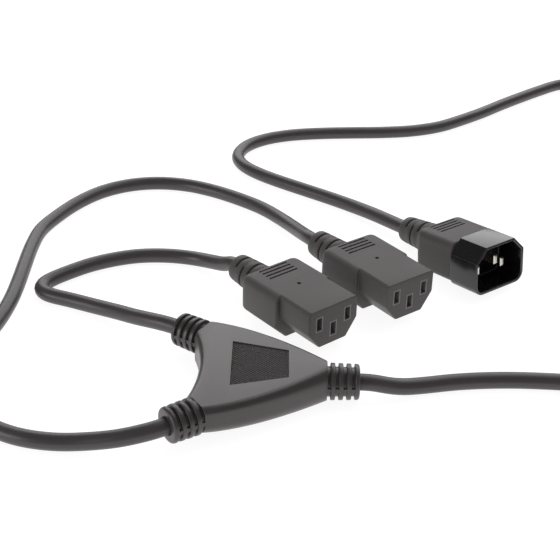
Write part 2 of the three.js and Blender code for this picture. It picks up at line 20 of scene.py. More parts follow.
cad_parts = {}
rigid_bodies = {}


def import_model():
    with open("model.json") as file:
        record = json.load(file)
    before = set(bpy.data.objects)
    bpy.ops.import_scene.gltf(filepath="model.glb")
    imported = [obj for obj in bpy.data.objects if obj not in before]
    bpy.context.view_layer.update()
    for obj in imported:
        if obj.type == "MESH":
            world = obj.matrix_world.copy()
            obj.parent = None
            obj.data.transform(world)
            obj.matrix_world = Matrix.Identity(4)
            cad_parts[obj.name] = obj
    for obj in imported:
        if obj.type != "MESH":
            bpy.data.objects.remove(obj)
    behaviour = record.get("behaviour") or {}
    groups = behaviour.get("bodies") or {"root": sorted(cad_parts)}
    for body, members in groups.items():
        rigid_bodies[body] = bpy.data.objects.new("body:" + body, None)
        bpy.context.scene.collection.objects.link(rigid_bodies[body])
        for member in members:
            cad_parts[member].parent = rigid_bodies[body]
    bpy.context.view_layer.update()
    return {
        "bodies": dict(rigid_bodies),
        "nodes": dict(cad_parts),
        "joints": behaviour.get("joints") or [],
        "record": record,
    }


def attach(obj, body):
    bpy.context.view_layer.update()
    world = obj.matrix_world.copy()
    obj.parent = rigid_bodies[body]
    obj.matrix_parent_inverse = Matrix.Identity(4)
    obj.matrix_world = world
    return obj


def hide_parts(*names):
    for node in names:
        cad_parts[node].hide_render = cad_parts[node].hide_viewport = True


LOG = logging.getLogger("power_cord_splitter")
MM = 0.001
PICTURE = 560
SMOOTH_ANGLE = math.radians(32)
QUARTER = math.pi / 2

Point = tuple[float, float, float]
Ring = list[Vector]


class Combine(Enum):
    """How a form is joined with a piece."""

    ADD = "UNION"
    CUT = "DIFFERENCE"
    COMMON = "INTERSECT"


class FarEnd(Enum):
    """What a cord ends in."""

    CONNECTOR = "connector"
    PLUG = "plug"


# Workbench


class Bench:
    """Modelling steps, each done as by hand with Blender's own operators."""

    @staticmethod
    def clear() -> None:
        """Deselects everything, because an operator acts on all that is selected."""
        bpy.ops.object.select_all(action="DESELECT")

    @staticmethod
    def pick(piece: bpy.types.Object) -> None:
        """Makes one piece the only selected and active one.

        Args:
            piece: The piece to work on.
        """
        Bench.clear()
        piece.select_set(True)
        bpy.context.view_layer.objects.active = piece

    @staticmethod
    def close(piece: bpy.types.Object) -> None:
        """Merges a piece's doubled points, fills its open ends and points its faces outwards.

        Args:
            piece: The piece, which is a closed form but for its ends.
        """
        Bench.pick(piece)
        bpy.ops.object.mode_set(mode="EDIT")
        bpy.ops.mesh.select_all(action="SELECT")
        bpy.ops.mesh.remove_doubles(threshold=1e-4)
        bpy.ops.mesh.fill_holes(sides=0)
        bpy.ops.mesh.normals_make_consistent(inside=False)
        bpy.ops.object.mode_set(mode="OBJECT")

    @staticmethod
    def block(name: str, low: Point, high: Point) -> bpy.types.Object:
        """Adds a box between two corners.

        Args:
            name: The piece's name.
            low: Its lowest corner.
            high: Its highest corner.

        Returns:
            The box, with its place in its mesh.
        """
        Bench.clear()
        centre = [(a + b) / 2 for a, b in zip(low, high)]
        bpy.ops.mesh.primitive_cube_add(size=1, location=centre)
        piece = bpy.context.active_object
        piece.name = name
        piece.scale = [b - a for a, b in zip(low, high)]
        bpy.ops.object.transform_apply(location=True, rotation=False, scale=True)
        return piece

    @staticmethod
    def lofted(name: str, rings: Sequence[Ring]) -> bpy.types.Object:
        """Extrudes a filled circle from ring to ring, shaping it to each, and closes both ends.

        Args:
            name: The piece's name.
            rings: Closed sections with equal numbers of points.

        Returns:
            The closed form.
        """
        Bench.clear()
        count = len(rings[0])
        bpy.ops.mesh.primitive_circle_add(vertices=count, fill_type="NGON")
        piece = bpy.context.active_object
        piece.name = name
        bpy.ops.object.transform_apply(location=True, rotation=True, scale=True)
        bpy.ops.object.mode_set(mode="EDIT")
        bpy.ops.mesh.select_all(action="SELECT")
        shaping = bmesh.from_edit_mesh(piece.data)
        shaping.verts.ensure_lookup_table()
        for vertex, target in zip(shaping.verts, rings[0]):
            vertex.co = target
        bmesh.update_edit_mesh(piece.data)
        for before, after in zip(rings, rings[1:]):
            bpy.ops.mesh.extrude_region_move()
            shaping = bmesh.from_edit_mesh(piece.data)
            for vertex in [v for v in shaping.verts if v.select]:
                nearest = min(range(count), key=lambda i: (before[i] - vertex.co).length_squared)
                vertex.co = after[nearest]
            bmesh.update_edit_mesh(piece.data)
        bpy.ops.object.mode_set(mode="OBJECT")
        Bench.close(piece)
        return piece

    @staticmethod
    def turned(name: str, profile: Sequence[tuple[float, float]], steps: int = 48) -> bpy.types.Object:
        """Spins an outline about the x axis.

        Args:
            name: The piece's name.
            profile: Points (x, radius) from the axis to the axis.
            steps: How many steps make the full turn.

        Returns:
            The closed form.
        """
        Bench.clear()
        bpy.ops.mesh.primitive_plane_add(size=1)
        piece = bpy.context.active_object
        piece.name = name
        outline = bmesh.new()
        points = [outline.verts.new((x, 0.0, radius)) for x, radius in profile]
        for first, second in zip(points, points[1:]):
            outline.edges.new((first, second))
        outline.to_mesh(piece.data)
        outline.free()
        bpy.ops.object.mode_set(mode="EDIT")
        bpy.ops.mesh.select_all(action="SELECT")
        bpy.ops.mesh.spin(steps=steps, angle=2 * math.pi, center=(0, 0, 0), axis=(1, 0, 0))
        bpy.ops.object.mode_set(mode="OBJECT")
        Bench.close(piece)
        return piece

    @staticmethod
    def join(piece: bpy.types.Object, others: Iterable[bpy.types.Object], how: Combine) -> None:
        """Applies a boolean with each other form, and deletes those forms.

        Args:
            piece: The piece that is kept.
            others: The forms to add to it or cut from it.
            how: Whether they are added, cut away, or only what they have in common stays.
        """
        for other in others:
            Bench.pick(piece)
            modifier = piece.modifiers.new("shape", "BOOLEAN")
            modifier.operation = how.value
            modifier.solver = "EXACT"
            modifier.object = other
            bpy.ops.object.modifier_apply(modifier=modifier.name)
            bpy.data.objects.remove(other, do_unlink=True)

    @staticmethod
    def move(piece: bpy.types.Object, matrix: Matrix) -> bpy.types.Object:
        """Puts a matrix into a piece's mesh.

        Args:
            piece: The piece.
            matrix: Where it goes.

        Returns:
            The same piece.
        """
        Bench.pick(piece)
        piece.matrix_world = matrix
        bpy.ops.object.transform_apply(location=True, rotation=True, scale=True)
        return piece

    @staticmethod
    def finish(piece: bpy.types.Object, matrix: Matrix) -> None:
        """Places a piece in the row frame, in metres, and shades it.

        Args:
            piece: The finished piece, in millimetres.
            matrix: Where it goes, in millimetres.
        """
        Bench.move(piece, Matrix.Scale(MM, 4) @ matrix)
        bpy.ops.object.shade_smooth_by_angle(angle=SMOOTH_ANGLE)


def arc(
    cy: float, cz: float, radius: float, start: float, end: float, steps: int, up: float = 0.0,
) -> list[tuple[float, float]]:
    """Points of an arc in a section.

    Args:
        cy: The centre's y.
        cz: The centre's z.
        radius: The arc's radius.
        start: Its first angle in degrees, from +y towards +z.
        end: Its last angle in degrees.
        steps: How many steps it has.
        up: Its radius upwards, where that differs.

    Returns:
        The arc's points (y, z).
    """
    angles = [math.radians(start + (end - start) * i / steps) for i in range(steps + 1)]
    return [(cy + radius * math.cos(a), cz + (up or radius) * math.sin(a)) for a in angles]


@dataclass(frozen=True)
class Section:
    """A closed section across x, the same left and right."""

    half: float
    low: float
    high: float
    edge: float
    chamfer_across: float = 0.0
    chamfer_up: float = 0.0
    low_radius: float = 0.0
    low_up: float = 0.0
    steps: int = 8

    def ring(self, x: float, inset: float = 0.0) -> Ring:
        """The section's points.

        Args:
            x: Where the section is.
            inset: How far every side is moved inwards.

        Returns:
            The points, counterclockwise when seen from +x.
        """
        half, low, high = self.half - inset, self.low + inset, self.high - inset
        edge = max(self.edge - inset, 0.05)
        if self.low_radius:
            radius = max(self.low_radius - inset, 0.05)
            up = max((self.low_up or self.low_radius) - inset, 0.05)
            right = arc(half - radius, low + up, radius, -90, 0, self.steps, up)
        else:
            slant = inset * 0.41
            across = self.chamfer_across - slant
            up = self.chamfer_up - slant
            soft = 0.35
            right = [
                (half - across - soft, low),
                (half - across + soft * 0.7, low + soft * 0.7),
                (half - soft * 0.7, low + up - soft * 0.7),
                (half, low + up + soft),
            ]
        right += arc(half - edge, high - edge, edge, 0, 90, self.steps)
        left = [(-y, z) for y, z in reversed(right)]
        return [Vector((x, y, z)) for y, z in right + left]


def rounded_front(section: Section, end: float, rounding: float, steps: int = 6) -> list[Ring]:
    """Sections of a block's rounded front.

    Args:
        section: The block's section.
        end: The x of its front face.
        rounding: The rounding of that face's edge.
        steps: How many steps the rounding has.

    Returns:
        The rings, by rising x.
    """
    angles = [QUARTER * i / steps for i in range(steps + 1)]
    return [
        section.ring(end - rounding * (1 - math.sin(a)), rounding * (1 - math.cos(a))) for a in angles
    ]


def grip_rings(section: Section, rear: float, front: float, rounding: float) -> list[Ring]:
    """Sections of a connector's grip, which draws in towards its rear.

    Args:
        section: The grip's section at its front.
        rear: The x of its rear face.
        front: The x of its front face.
        rounding: The rounding of the front face's edge.

    Returns:
        The rings, by rising x.
    """
    reach, draw_in, drop, steps = 3.0, 1.4, 1.2, 8
    rings = []
    for i in range(steps + 1):
        angle = QUARTER * i / steps
        share = math.sin(angle)
        drawn = replace(
            section, half=section.half - draw_in * (1 - share), low=section.low + 1 - share,
            high=section.high - drop * (1 - share),
        )
        rings.append(drawn.ring(rear + reach * (1 - math.cos(angle))))
    return rings + rounded_front(section, front, rounding)


@dataclass(frozen=True)
class Boot:
    """A ribbed strain relief along -x from its root at x = 0."""

    length: float
    root: float
    tip: float
    groove: float
    depth: float
    first_groove: float
    pitch: float
    grooves: int
    web: float = 0.0
    slot_share: float = 0.55
    soft: float = 0.3
    mouth: float = 0.4
    overlap: float = 1.5
    web_drop: float = 0.35
    web_margin: float = 1.4
    web_root: float = 1.2
    end_soft: float = 0.9
    groove_soft: float = 0.1
    fill_drop: float = 0.12
    fill_overlap: float = 0.2

    def radius(self, s: float) -> float:
        """Outer radius at a distance from the root."""
        return self.root + (self.tip - self.root) * s / self.length

    def profile(self) -> list[tuple[float, float]]:
        """The outline (x, radius) with rounded ribs, from the root to the mouth.

        Returns:
            The outline's points.
        """
        points = [(self.overlap, 0.0), (self.overlap, self.root - self.depth)]
        marks = [self.first_groove + i * self.pitch for i in range(self.grooves)]
        if self.first_groove > 0:
            points += [(0.0, self.root - self.depth)]
            points += self.rib(0.0, marks[0])
        for i, start in enumerate(marks):
            inner = self.radius(start) - self.depth
            points += [(-start - self.groove_soft, inner), (-start - self.groove + self.groove_soft, inner)]
            last = i + 1 == len(marks)
            end = self.length if last else marks[i + 1]
            points += self.rib(start + self.groove, end, self.end_soft if last else self.soft)
        points.append((-self.length, 0.0))
        return points

    def rib(self, start: float, end: float, far: float = 0.0) -> list[tuple[float, float]]:
        """One rib's rounded outline.

        Args:
            start: Where it starts, from the root.
            end: Where it ends.
            far: The rounding at its far side.

        Returns:
            The outline's points.
        """
        far = far or self.soft
        near = self.soft
        points = [
            (-(start + near * (1 - math.cos(a))), self.radius(start) - near * (1 - math.sin(a)))
            for a in (QUARTER * i / 3 for i in range(4))
        ]
        points += [
            (-(end - far * (1 - math.cos(a))), self.radius(end) - far * (1 - math.sin(a)))
            for a in (QUARTER * (1 - i / 4) for i in range(5))
        ]
        return points

    def build(self, name: str) -> bpy.types.Object:
        """Models the boot, its grooves bridged by webs at the parting line or broken into staggered slots.

        Args:
            name: The piece's name.

        Returns:
            The boot, with its root at x = 0.
        """
        piece = Bench.turned(name, self.profile())
        if self.web:
            reach, half = self.tip - self.web_drop, self.web / 2
            low, high = (-self.length + self.web_margin, -reach, -half), (self.web_root, reach, half)
            Bench.join(piece, [Bench.block("web", low, high)], Combine.ADD)
        else:
            Bench.join(piece, [self.filling(i) for i in range(self.grooves)], Combine.ADD)
        return piece

    def filling(self, index: int) -> bpy.types.Object:
        """What a groove keeps filled, so that slots stay open above and below it or at its sides.

        Args:
            index: The groove's number, from the root.

        Returns:
            The form to add.
        """
        start = self.first_groove + index * self.pitch
        reach = self.radius(start + self.groove) - self.fill_drop
        near, far = self.fill_overlap - start, -start - self.groove - self.fill_overlap
        disc = Bench.turned("filling", [(near, 0.0), (near, reach), (far, reach), (far, 0.0)])
        narrow, wide = reach * self.slot_share, reach + 1
        across, up = (wide, narrow) if index % 2 else (narrow, wide)
        keep = Bench.block("keep", (-self.length, -across, -up), (1.0, across, up))
        Bench.join(disc, [keep], Combine.COMMON)
        return disc

    def bore(self, depth: float, radius: float) -> bpy.types.Object:
        """The form of the cord's bore, with a small countersink at the mouth.

        Args:
            depth: How far the bore goes beyond the root.
            radius: The bore's radius.

        Returns:
            The form to cut away.
        """
        end = -self.length
        outline = [
            (depth, 0.0), (depth, radius), (end + self.mouth, radius),
            (end - self.mouth, radius + 2 * self.mouth), (end - self.mouth, 0.0),
        ]
        return Bench.turned("bore", outline, 40)


# Finishes


class Graph:
    """Short hand for a node tree's nodes and links."""

    def __init__(self, tree: bpy.types.NodeTree) -> None:
        """Keeps the tree that nodes are added to."""
        self.tree = tree

    def add(self, kind: str, **values: object) -> bpy.types.Node:
        """Adds a node and sets its properties.

        Args:
            kind: The node's type.
            values: Its properties by name.

        Returns:
            The node.
        """
        node = self.tree.nodes.new(kind)
        for name, value in values.items():
            setattr(node, name, value)
        return node

    def put(self, node: bpy.types.Node, socket: str | int, value: object) -> None:
        """Feeds an input with a value or with another node's output.

        Args:
            node: The node.
            socket: The input's name or number.
            value: The value or the output.
        """
        target = node.inputs[socket]
        if isinstance(value, bpy.types.NodeSocket):
            self.tree.links.new(value, target)
        else:
            target.default_value = value

    def math(
        self, operation: str, first: object, second: object = 0.0, clamp: bool = False,
    ) -> bpy.types.NodeSocket:
        """Adds a Math node and gives its output.

        Args:
            operation: What it works out.
            first: Its first value or output.
            second: Its second value or output.
            clamp: Whether the result is kept from 0 to 1.

        Returns:
            Its output.
        """
        node = self.add("ShaderNodeMath", operation=operation, use_clamp=clamp)
        self.put(node, 0, first)
        self.put(node, 1, second)
        return node.outputs[0]

    def noise(self, scale: object, detail: float = 3.0, roughness: float = 0.55) -> bpy.types.NodeSocket:
        """Adds a noise on Object coordinates and gives its value.

        Args:
            scale: The noise's scale.
            detail: Its number of octaves.
            roughness: The finer octaves' share.

        Returns:
            Its value.
        """
        place = self.add("ShaderNodeTexCoord")
        node = self.add("ShaderNodeTexNoise")
        self.put(node, "Vector", place.outputs["Object"])
        self.put(node, "Scale", scale)
        self.put(node, "Detail", detail)
        self.put(node, "Roughness", roughness)
        return node.outputs["Fac"]

    def mix(self, factor: object, first: object, second: object) -> bpy.types.NodeSocket:
        """Adds a colour mix and gives its colour.

        Args:
            factor: The second colour's share.
            first: The first colour.
            second: The second colour.

        Returns:
            The mixed colour.
        """
        node = self.add("ShaderNodeMix", data_type="RGBA")
        self.put(node, 0, factor)
        self.put(node, 6, first)
        self.put(node, 7, second)
        return node.outputs[2]


class Effects:
    """Node groups that several finishes share."""

    @staticmethod
    def group(
        name: str, inputs: dict[str, float], outputs: dict[str, str],
    ) -> tuple[bpy.types.NodeTree, Graph]:
        """Starts a node group with named sockets.

        Args:
            name: The group's name.
            inputs: Each input's name and default value.
            outputs: Each output's name and socket type.

        Returns:
            The group and its graph.
        """
        tree = bpy.data.node_groups.new(name, "ShaderNodeTree")
        for label, value in inputs.items():
            socket = tree.interface.new_socket(label, in_out="INPUT", socket_type="NodeSocketFloat")
            socket.default_value = value
        for label, kind in outputs.items():
            tree.interface.new_socket(label, in_out="OUTPUT", socket_type=kind)
        return tree, Graph(tree)

    @staticmethod
    def moulded_surface() -> bpy.types.NodeTree:
        """Fine moulding grain on softened edges: gives a normal.

        Returns:
            The node group.
        """
        tree, graph = Effects.group(
            "moulded_surface",
            {"Edge Radius": 0.0003, "Grain Scale": 2600.0, "Grain Depth": 0.00002, "Flow Depth": 0.00004},
            {"Normal": "NodeSocketVector"},
        )
        given = graph.add("NodeGroupInput")
        soft = graph.add("ShaderNodeBevel", samples=6)
        graph.put(soft, "Radius", given.outputs["Edge Radius"])
        flow = graph.add("ShaderNodeBump")
        graph.put(flow, "Height", graph.noise(90.0, 2.0))
        graph.put(flow, "Distance", given.outputs["Flow Depth"])
        graph.put(flow, "Normal", soft.outputs[0])
        grain = graph.add("ShaderNodeBump")
        graph.put(grain, "Height", graph.noise(given.outputs["Grain Scale"], 4.0))
        graph.put(grain, "Distance", given.outputs["Grain Depth"])
        graph.put(grain, "Normal", flow.outputs[0])
        out = graph.add("NodeGroupOutput")
        graph.put(out, "Normal", grain.outputs[0])
        return tree

    @staticmethod
    def edge_wear_and_painted_glint() -> bpy.types.NodeTree:
        """Where convex edges are painted paler, partly as rubbed wear and partly as a painted highlight: gives
        a mask broken up by noise.

        Returns:
            The node group.
        """
        tree, graph = Effects.group(
            "edge_wear_and_painted_glint", {"Radius": 0.0005, "Break Up": 0.5}, {"Mask": "NodeSocketFloat"},
        )
        given = graph.add("NodeGroupInput")
        soft = graph.add("ShaderNodeBevel", samples=6)
        graph.put(soft, "Radius", given.outputs["Radius"])
        flat = graph.add("ShaderNodeNewGeometry")
        alike = graph.add("ShaderNodeVectorMath", operation="DOT_PRODUCT")
        graph.put(alike, 0, soft.outputs[0])
        graph.put(alike, 1, flat.outputs["Normal"])
        bend = graph.math("MULTIPLY", graph.math("SUBTRACT", 1.0, alike.outputs["Value"]), 6.0, clamp=True)
        broken = graph.math("MULTIPLY", graph.noise(700.0, 3.0), given.outputs["Break Up"])
        out = graph.add("NodeGroupOutput")
        graph.put(out, "Mask", graph.math("MULTIPLY", bend, graph.math("SUBTRACT", 1.0, broken), clamp=True))
        return tree

    @staticmethod
    def mottle() -> bpy.types.NodeTree:
        """Slow change of tone and gloss over a surface, with sparse dust: gives two values.

        Returns:
            The node group.
        """
        tree, graph = Effects.group(
            "mottle", {"Scale": 45.0}, {"Tone": "NodeSocketFloat", "Dust": "NodeSocketFloat"},
        )
        given = graph.add("NodeGroupInput")
        out = graph.add("NodeGroupOutput")
        graph.put(out, "Tone", graph.noise(given.outputs["Scale"], 4.0))
        specks = graph.math("SUBTRACT", graph.noise(1500.0, 2.0, 0.4), 0.66)
        graph.put(out, "Dust", graph.math("MULTIPLY", specks, 9.0, clamp=True))
        return tree


@dataclass(frozen=True)
class Finish:
    """A surface finish, in linear colours."""

    name: str
    colour: Point
    # Colour painted on convex edges: partly rubbed wear, partly a painted highlight.
    worn_and_glint: Point
    roughness: float
    spread: float = 0.1
    metallic: float = 0.0
    coat: float = 0.0
    grain_depth: float = 0.00002
    grain_scale: float = 2600.0
    edge_radius: float = 0.0003
    # How strongly the edge colour is painted on: partly wear, partly a painted highlight.
    glint_and_wear: float = 0.6
    specular: float = 0.5
    knurl: float = 0.0
    knurl_depth: float = 0.0008
    mottling: float = 0.14
    dust: Point = (0.32, 0.31, 0.3)
    dust_share: float = 0.1
    coat_roughness: float = 0.12

    def make(self) -> bpy.types.Material:
        """Builds the material from the shared effects.

        Returns:
            The material.
        """
        material = bpy.data.materials.new(self.name)
        material.use_nodes = True
        material.node_tree.nodes.clear()
        graph = Graph(material.node_tree)
        shader = graph.add("ShaderNodeBsdfPrincipled")
        surface = self.effect(graph, "moulded_surface")
        graph.put(surface, "Edge Radius", self.edge_radius)
        graph.put(surface, "Grain Scale", self.grain_scale)
        graph.put(surface, "Grain Depth", self.grain_depth)
        # Convex edges are painted paler, partly as wear and partly as a painted highlight.
        glint_and_wear = self.effect(graph, "edge_wear_and_painted_glint")
        mottle = self.effect(graph, "mottle")
        shares = (1 - self.mottling, 1 + self.mottling)
        dark, light = ((*[c * share for c in self.colour], 1.0) for share in shares)
        tone = graph.mix(mottle.outputs["Tone"], dark, light)
        worn_and_glint = graph.math("MULTIPLY", glint_and_wear.outputs["Mask"], self.glint_and_wear)
        tone = graph.mix(worn_and_glint, tone, (*self.worn_and_glint, 1.0))
        dust = graph.math("MULTIPLY", mottle.outputs["Dust"], self.dust_share * (1 - self.metallic))
        graph.put(shader, "Base Color", graph.mix(dust, tone, (*self.dust, 1.0)))
        change = graph.math("MULTIPLY", graph.math("SUBTRACT", mottle.outputs["Tone"], 0.5), 2 * self.spread)
        graph.put(shader, "Roughness", graph.math("ADD", change, self.roughness, clamp=True))
        graph.put(shader, "Metallic", self.metallic)
        graph.put(shader, "Coat Weight", self.coat)
        graph.put(shader, "Coat Roughness", self.coat_roughness)
        graph.put(shader, "Specular IOR Level", self.specular)
        normal = surface.outputs["Normal"]
        if self.knurl:
            normal = self.knurled(graph, normal)
        graph.put(shader, "Normal", normal)
        out = graph.add("ShaderNodeOutputMaterial")
        graph.put(out, "Surface", shader.outputs[0])
        return material

    def effect(self, graph: Graph, name: str) -> bpy.types.Node:
        """Places one shared effect."""
        return graph.add("ShaderNodeGroup", node_tree=bpy.data.node_groups[name])

    def knurled(self, graph: Graph, normal: bpy.types.NodeSocket) -> bpy.types.NodeSocket:
        """Adds crossed diagonal grooves to a normal.

        Args:
            graph: The material's graph.
            normal: The normal to start from.

        Returns:
            The grooved normal.
        """
        place = graph.add("ShaderNodeTexCoord")
        axes = graph.add("ShaderNodeSeparateXYZ")
        graph.put(axes, 0, place.outputs["Object"])
        step = 2 * math.pi / self.knurl
        waves = []
        for operation in ("ADD", "SUBTRACT"):
            across = graph.math(operation, axes.outputs["X"], axes.outputs["Y"])
            waves.append(graph.math("ABSOLUTE", graph.math("SINE", graph.math("MULTIPLY", across, step / 2))))
        bump = graph.add("ShaderNodeBump")
        graph.put(bump, "Height", graph.math("MINIMUM", *waves))
        graph.put(bump, "Distance", self.knurl_depth)
        graph.put(bump, "Normal", normal)
        return bump.outputs[0]


OVERMOULD = Finish("satin_overmould", (0.05, 0.041, 0.042), (0.13, 0.12, 0.12), 0.34, 0.07, specular=0.6)
PATCH = Finish(
    "knurled_patch", (0.05, 0.042, 0.042), (0.09, 0.085, 0.085), 0.5, 0.05, specular=0.35, knurl=0.0013,
)
CONNECTOR = Finish("matt_overmould", (0.088, 0.078, 0.079), (0.19, 0.18, 0.18), 0.5, 0.08, specular=0.25)
# The shroud's pale edges are mostly a painted highlight on its rim, partly wear.
SHROUD = Finish(
    "glossy_black", (0.008, 0.007, 0.008), (0.2, 0.2, 0.205), 0.2, 0.04, coat=0.3, grain_depth=0.000002,
    glint_and_wear=1.0,
)
INNER = Finish("carrier_plastic", (0.17, 0.16, 0.16), (0.22, 0.21, 0.21), 0.45)
BRASS = Finish(
    "stamped_brass", (0.6, 0.42, 0.17), (0.8, 0.62, 0.3), 0.32, 0.08, metallic=1.0, grain_depth=0.000004,
)
NICKEL = Finish(
    "nickel_plate", (0.66, 0.63, 0.57), (0.85, 0.84, 0.8), 0.24, 0.08, metallic=1.0, grain_depth=0.000004,
)
COPPER = Finish(
    "bare_copper", (0.6, 0.3, 0.17), (0.8, 0.5, 0.35), 0.35, 0.08, metallic=1.0, grain_depth=0.000004,
)
JACKET = Finish(
    "satin_jacket", (0.056, 0.049, 0.05), (0.05, 0.05, 0.052), 0.36, 0.07, grain_scale=1500.0, glint_and_wear=0.0,
)
FINISHES = (OVERMOULD, PATCH, CONNECTOR, SHROUD, INNER, BRASS, NICKEL, COPPER, JACKET)


def dress(piece: bpy.types.Object, *finishes: Finish) -> None:
    """Gives a piece its materials in order.

    Args:
        piece: The piece.
        finishes: Its finishes, the main one first.
    """
    mixed = len(finishes) > 1
    kept = [polygon.material_index for polygon in piece.data.polygons] if mixed else []
    piece.data.materials.clear()
    for finish in finishes:
        piece.data.materials.append(bpy.data.materials[finish.name])
    for polygon, index in zip(piece.data.polygons if mixed else [], kept):
        polygon.material_index = index


# Places of the connectors


@dataclass(frozen=True)
class Place:
    """Where a connector lies: its front face's lower middle, its heading and its nose-up angle."""

    x: float
    y: float
    heading: float
    nose_up: float = 0.0
    lift: float = 0.0

    def matrix(self) -> Matrix:
        """The connector's frame in the row frame.

        Returns:
            The frame, in millimetres.
        """
        turn = Matrix.Rotation(math.radians(self.heading), 4, "Z")
        tilt = Matrix.Rotation(-math.radians(self.nose_up), 4, "Y")
        return Matrix.Translation((self.x, self.y, self.lift)) @ turn @ tilt

    def on_axis(self, along: float, height: float) -> Vector:
        """A point of the connector's middle plane in the row frame."""
        return self.matrix() @ Vector((along, 0.0, height))


TAIL = 34.0
GRIP_LOW = 0.9
NOSE_UP = 6.5
PLUG_LIFT = TAIL * math.sin(math.radians(NOSE_UP)) - GRIP_LOW * math.cos(math.radians(NOSE_UP))
SOCKET_A = Place(26.2, 31.7, -50.5)
SOCKET_B = Place(56.9, 52.7, -53.1)
PLUG = Place(96.5, 75.0, -53.4, NOSE_UP, PLUG_LIFT)


# Y body


@dataclass(frozen=True)
class SplitterBody:
    """The moulded Y body with its three boots."""

    height: float = 14.0
    wide_half: float = 28.9
    shoulder_x: float = -18.2
    bulge_x: float = -0.8
    bulge_half: float = 24.4
    end_half: float = 6.5
    end_x: float = 22.95
    edge_wide: float = 2.8
    edge_end: float = 6.2
    low_across: float = 13.0
    low_up: float = 7.5
    branch_x: float = -21.7
    branch_y: float = 24.0
    branch_angle: float = 33.7
    branch_height: float = 8.5
    trunk_height: float = 6.7
    crotch_x: float = -22.3
    crotch_radius: float = 62.0
    crotch_edge: float = 2.7
    carrier_inward: float = 7.0
    carrier_front: float = 17.0
    carrier_half: float = 4.6
    carrier_height: float = 8.0
    carrier_middle: float = 7.7
    clearance: float = 0.3
    bore_radius: float = 3.2
    patch_depth: float = 0.3
    patch_rear: float = -10.9
    patch_front: float = 9.3
    patch_wide_half: float = 13.9
    patch_end_half: float = 8.5
    boot: Boot = Boot(11.5, 6.7, 6.4, 1.25, 1.3, 0.0, 2.85, 4, 1.5)

    def branch_point(self, side: int, out: float) -> Vector:
        """A point on a branch boot's axis.

        Args:
            side: 1 for the branch at +y, -1 for the other.
            out: Distance from the boot's root.

        Returns:
            The point in the row frame.
        """
        turn = math.radians(self.branch_angle)
        y = self.branch_y + out * math.sin(turn)
        return Vector((self.branch_x - out * math.cos(turn), side * y, self.branch_height))

    def boot_places(self) -> list[Matrix]:
        """The frames of the three boots.

        Returns:
            The two branches' frames and the trunk's.
        """
        turn = math.radians(self.branch_angle)
        spots = [
            (self.branch_x, self.branch_y, self.branch_height, -turn),
            (self.branch_x, -self.branch_y, self.branch_height, turn),
            (self.end_x, 0.0, self.trunk_height, math.pi),
        ]
        return [Matrix.Translation(spot[:3]) @ Matrix.Rotation(spot[3], 4, "Z") for spot in spots]

    def rings(self) -> list[Ring]:
        """Sections of the body along x, from the wide end to the trunk end.

        Returns:
            The rings, by rising x.
        """
        start = Vector((self.shoulder_x, self.wide_half))
        control = Vector((self.bulge_x, self.bulge_half))
        end = Vector((self.end_x, self.end_half))
        stations = [Vector((self.crotch_x - 6, self.wide_half + 1.4))]
        for i in range(29):
            t = i / 28
            stations.append(start * (1 - t) ** 2 + control * 2 * t * (1 - t) + end * t * t)
        rings = []
        for spot in stations:
            along = max(0.0, (spot.x - self.shoulder_x) / (self.end_x - self.shoulder_x))
            edge = self.edge_wide + (self.edge_end - self.edge_wide) * along**2.5
            across = self.low_across + (self.edge_end - self.low_across) * along**0.75
            up = self.low_up + (self.edge_end - self.low_up) * along
            section = Section(spot.y, 0.0, self.height, edge, low_radius=across, low_up=up, steps=12)
            rings.append(section.ring(spot.x))
        return rings

    def saddle(self) -> bpy.types.Object:
        """The form that cuts the saddle between the branches, flared so that its edges come out round.

        Returns:
            The form to cut away.
        """
        outer = self.crotch_radius + self.crotch_edge
        outline = [(-1.0, 0.0), (-1.0, outer)]
        flare = [
            (self.crotch_edge * (1 - math.cos(a)), outer - self.crotch_edge * math.sin(a))
            for a in (QUARTER * i / 8 for i in range(9))
        ]
        outline += flare + [(self.height - x, radius) for x, radius in reversed(flare)]
        outline += [(self.height + 1, outer), (self.height + 1, 0.0)]
        drum = Bench.turned("saddle", outline, 160)
        upright = Matrix.Rotation(-QUARTER, 4, "Y")
        return Bench.move(drum, Matrix.Translation((self.crotch_x - self.crotch_radius, 0, 0)) @ upright)

    def pocket(self) -> bpy.types.Object:
        """The form of the inner pocket that holds the splice carrier.

        Returns:
            The form to cut away.
        """
        turn = math.radians(self.branch_angle)
        along = Vector((math.cos(turn), -math.sin(turn)))
        across = Vector((math.sin(turn), math.cos(turn))) * (self.carrier_half + self.clearance)
        face = Vector((self.branch_x, self.branch_y)) + along * (self.carrier_inward - self.clearance)
        front = Vector((self.carrier_front + self.clearance, self.carrier_half + self.clearance))
        upper = [front, face + across, face - across]
        outline = upper + [Vector((p.x, -p.y)) for p in reversed(upper)]
        tall = self.carrier_height / 2 + self.clearance
        rings = [[Vector((p.x, p.y, self.carrier_middle + z)) for p in outline] for z in (-tall, tall)]
        return Bench.lofted("pocket", rings)

    def patch(self) -> bpy.types.Object:
        """The form that sinks the bare textured patch into the top.

        Returns:
            The form to cut away.
        """
        right = [(self.patch_rear, -self.patch_wide_half), (self.patch_front, -self.patch_end_half)]
        outline = right + [(x, -y) for x, y in reversed(right)]
        levels = (self.height - self.patch_depth, self.height + 1)
        return Bench.lofted("patch", [[Vector((x, y, z)) for x, y in outline] for z in levels])

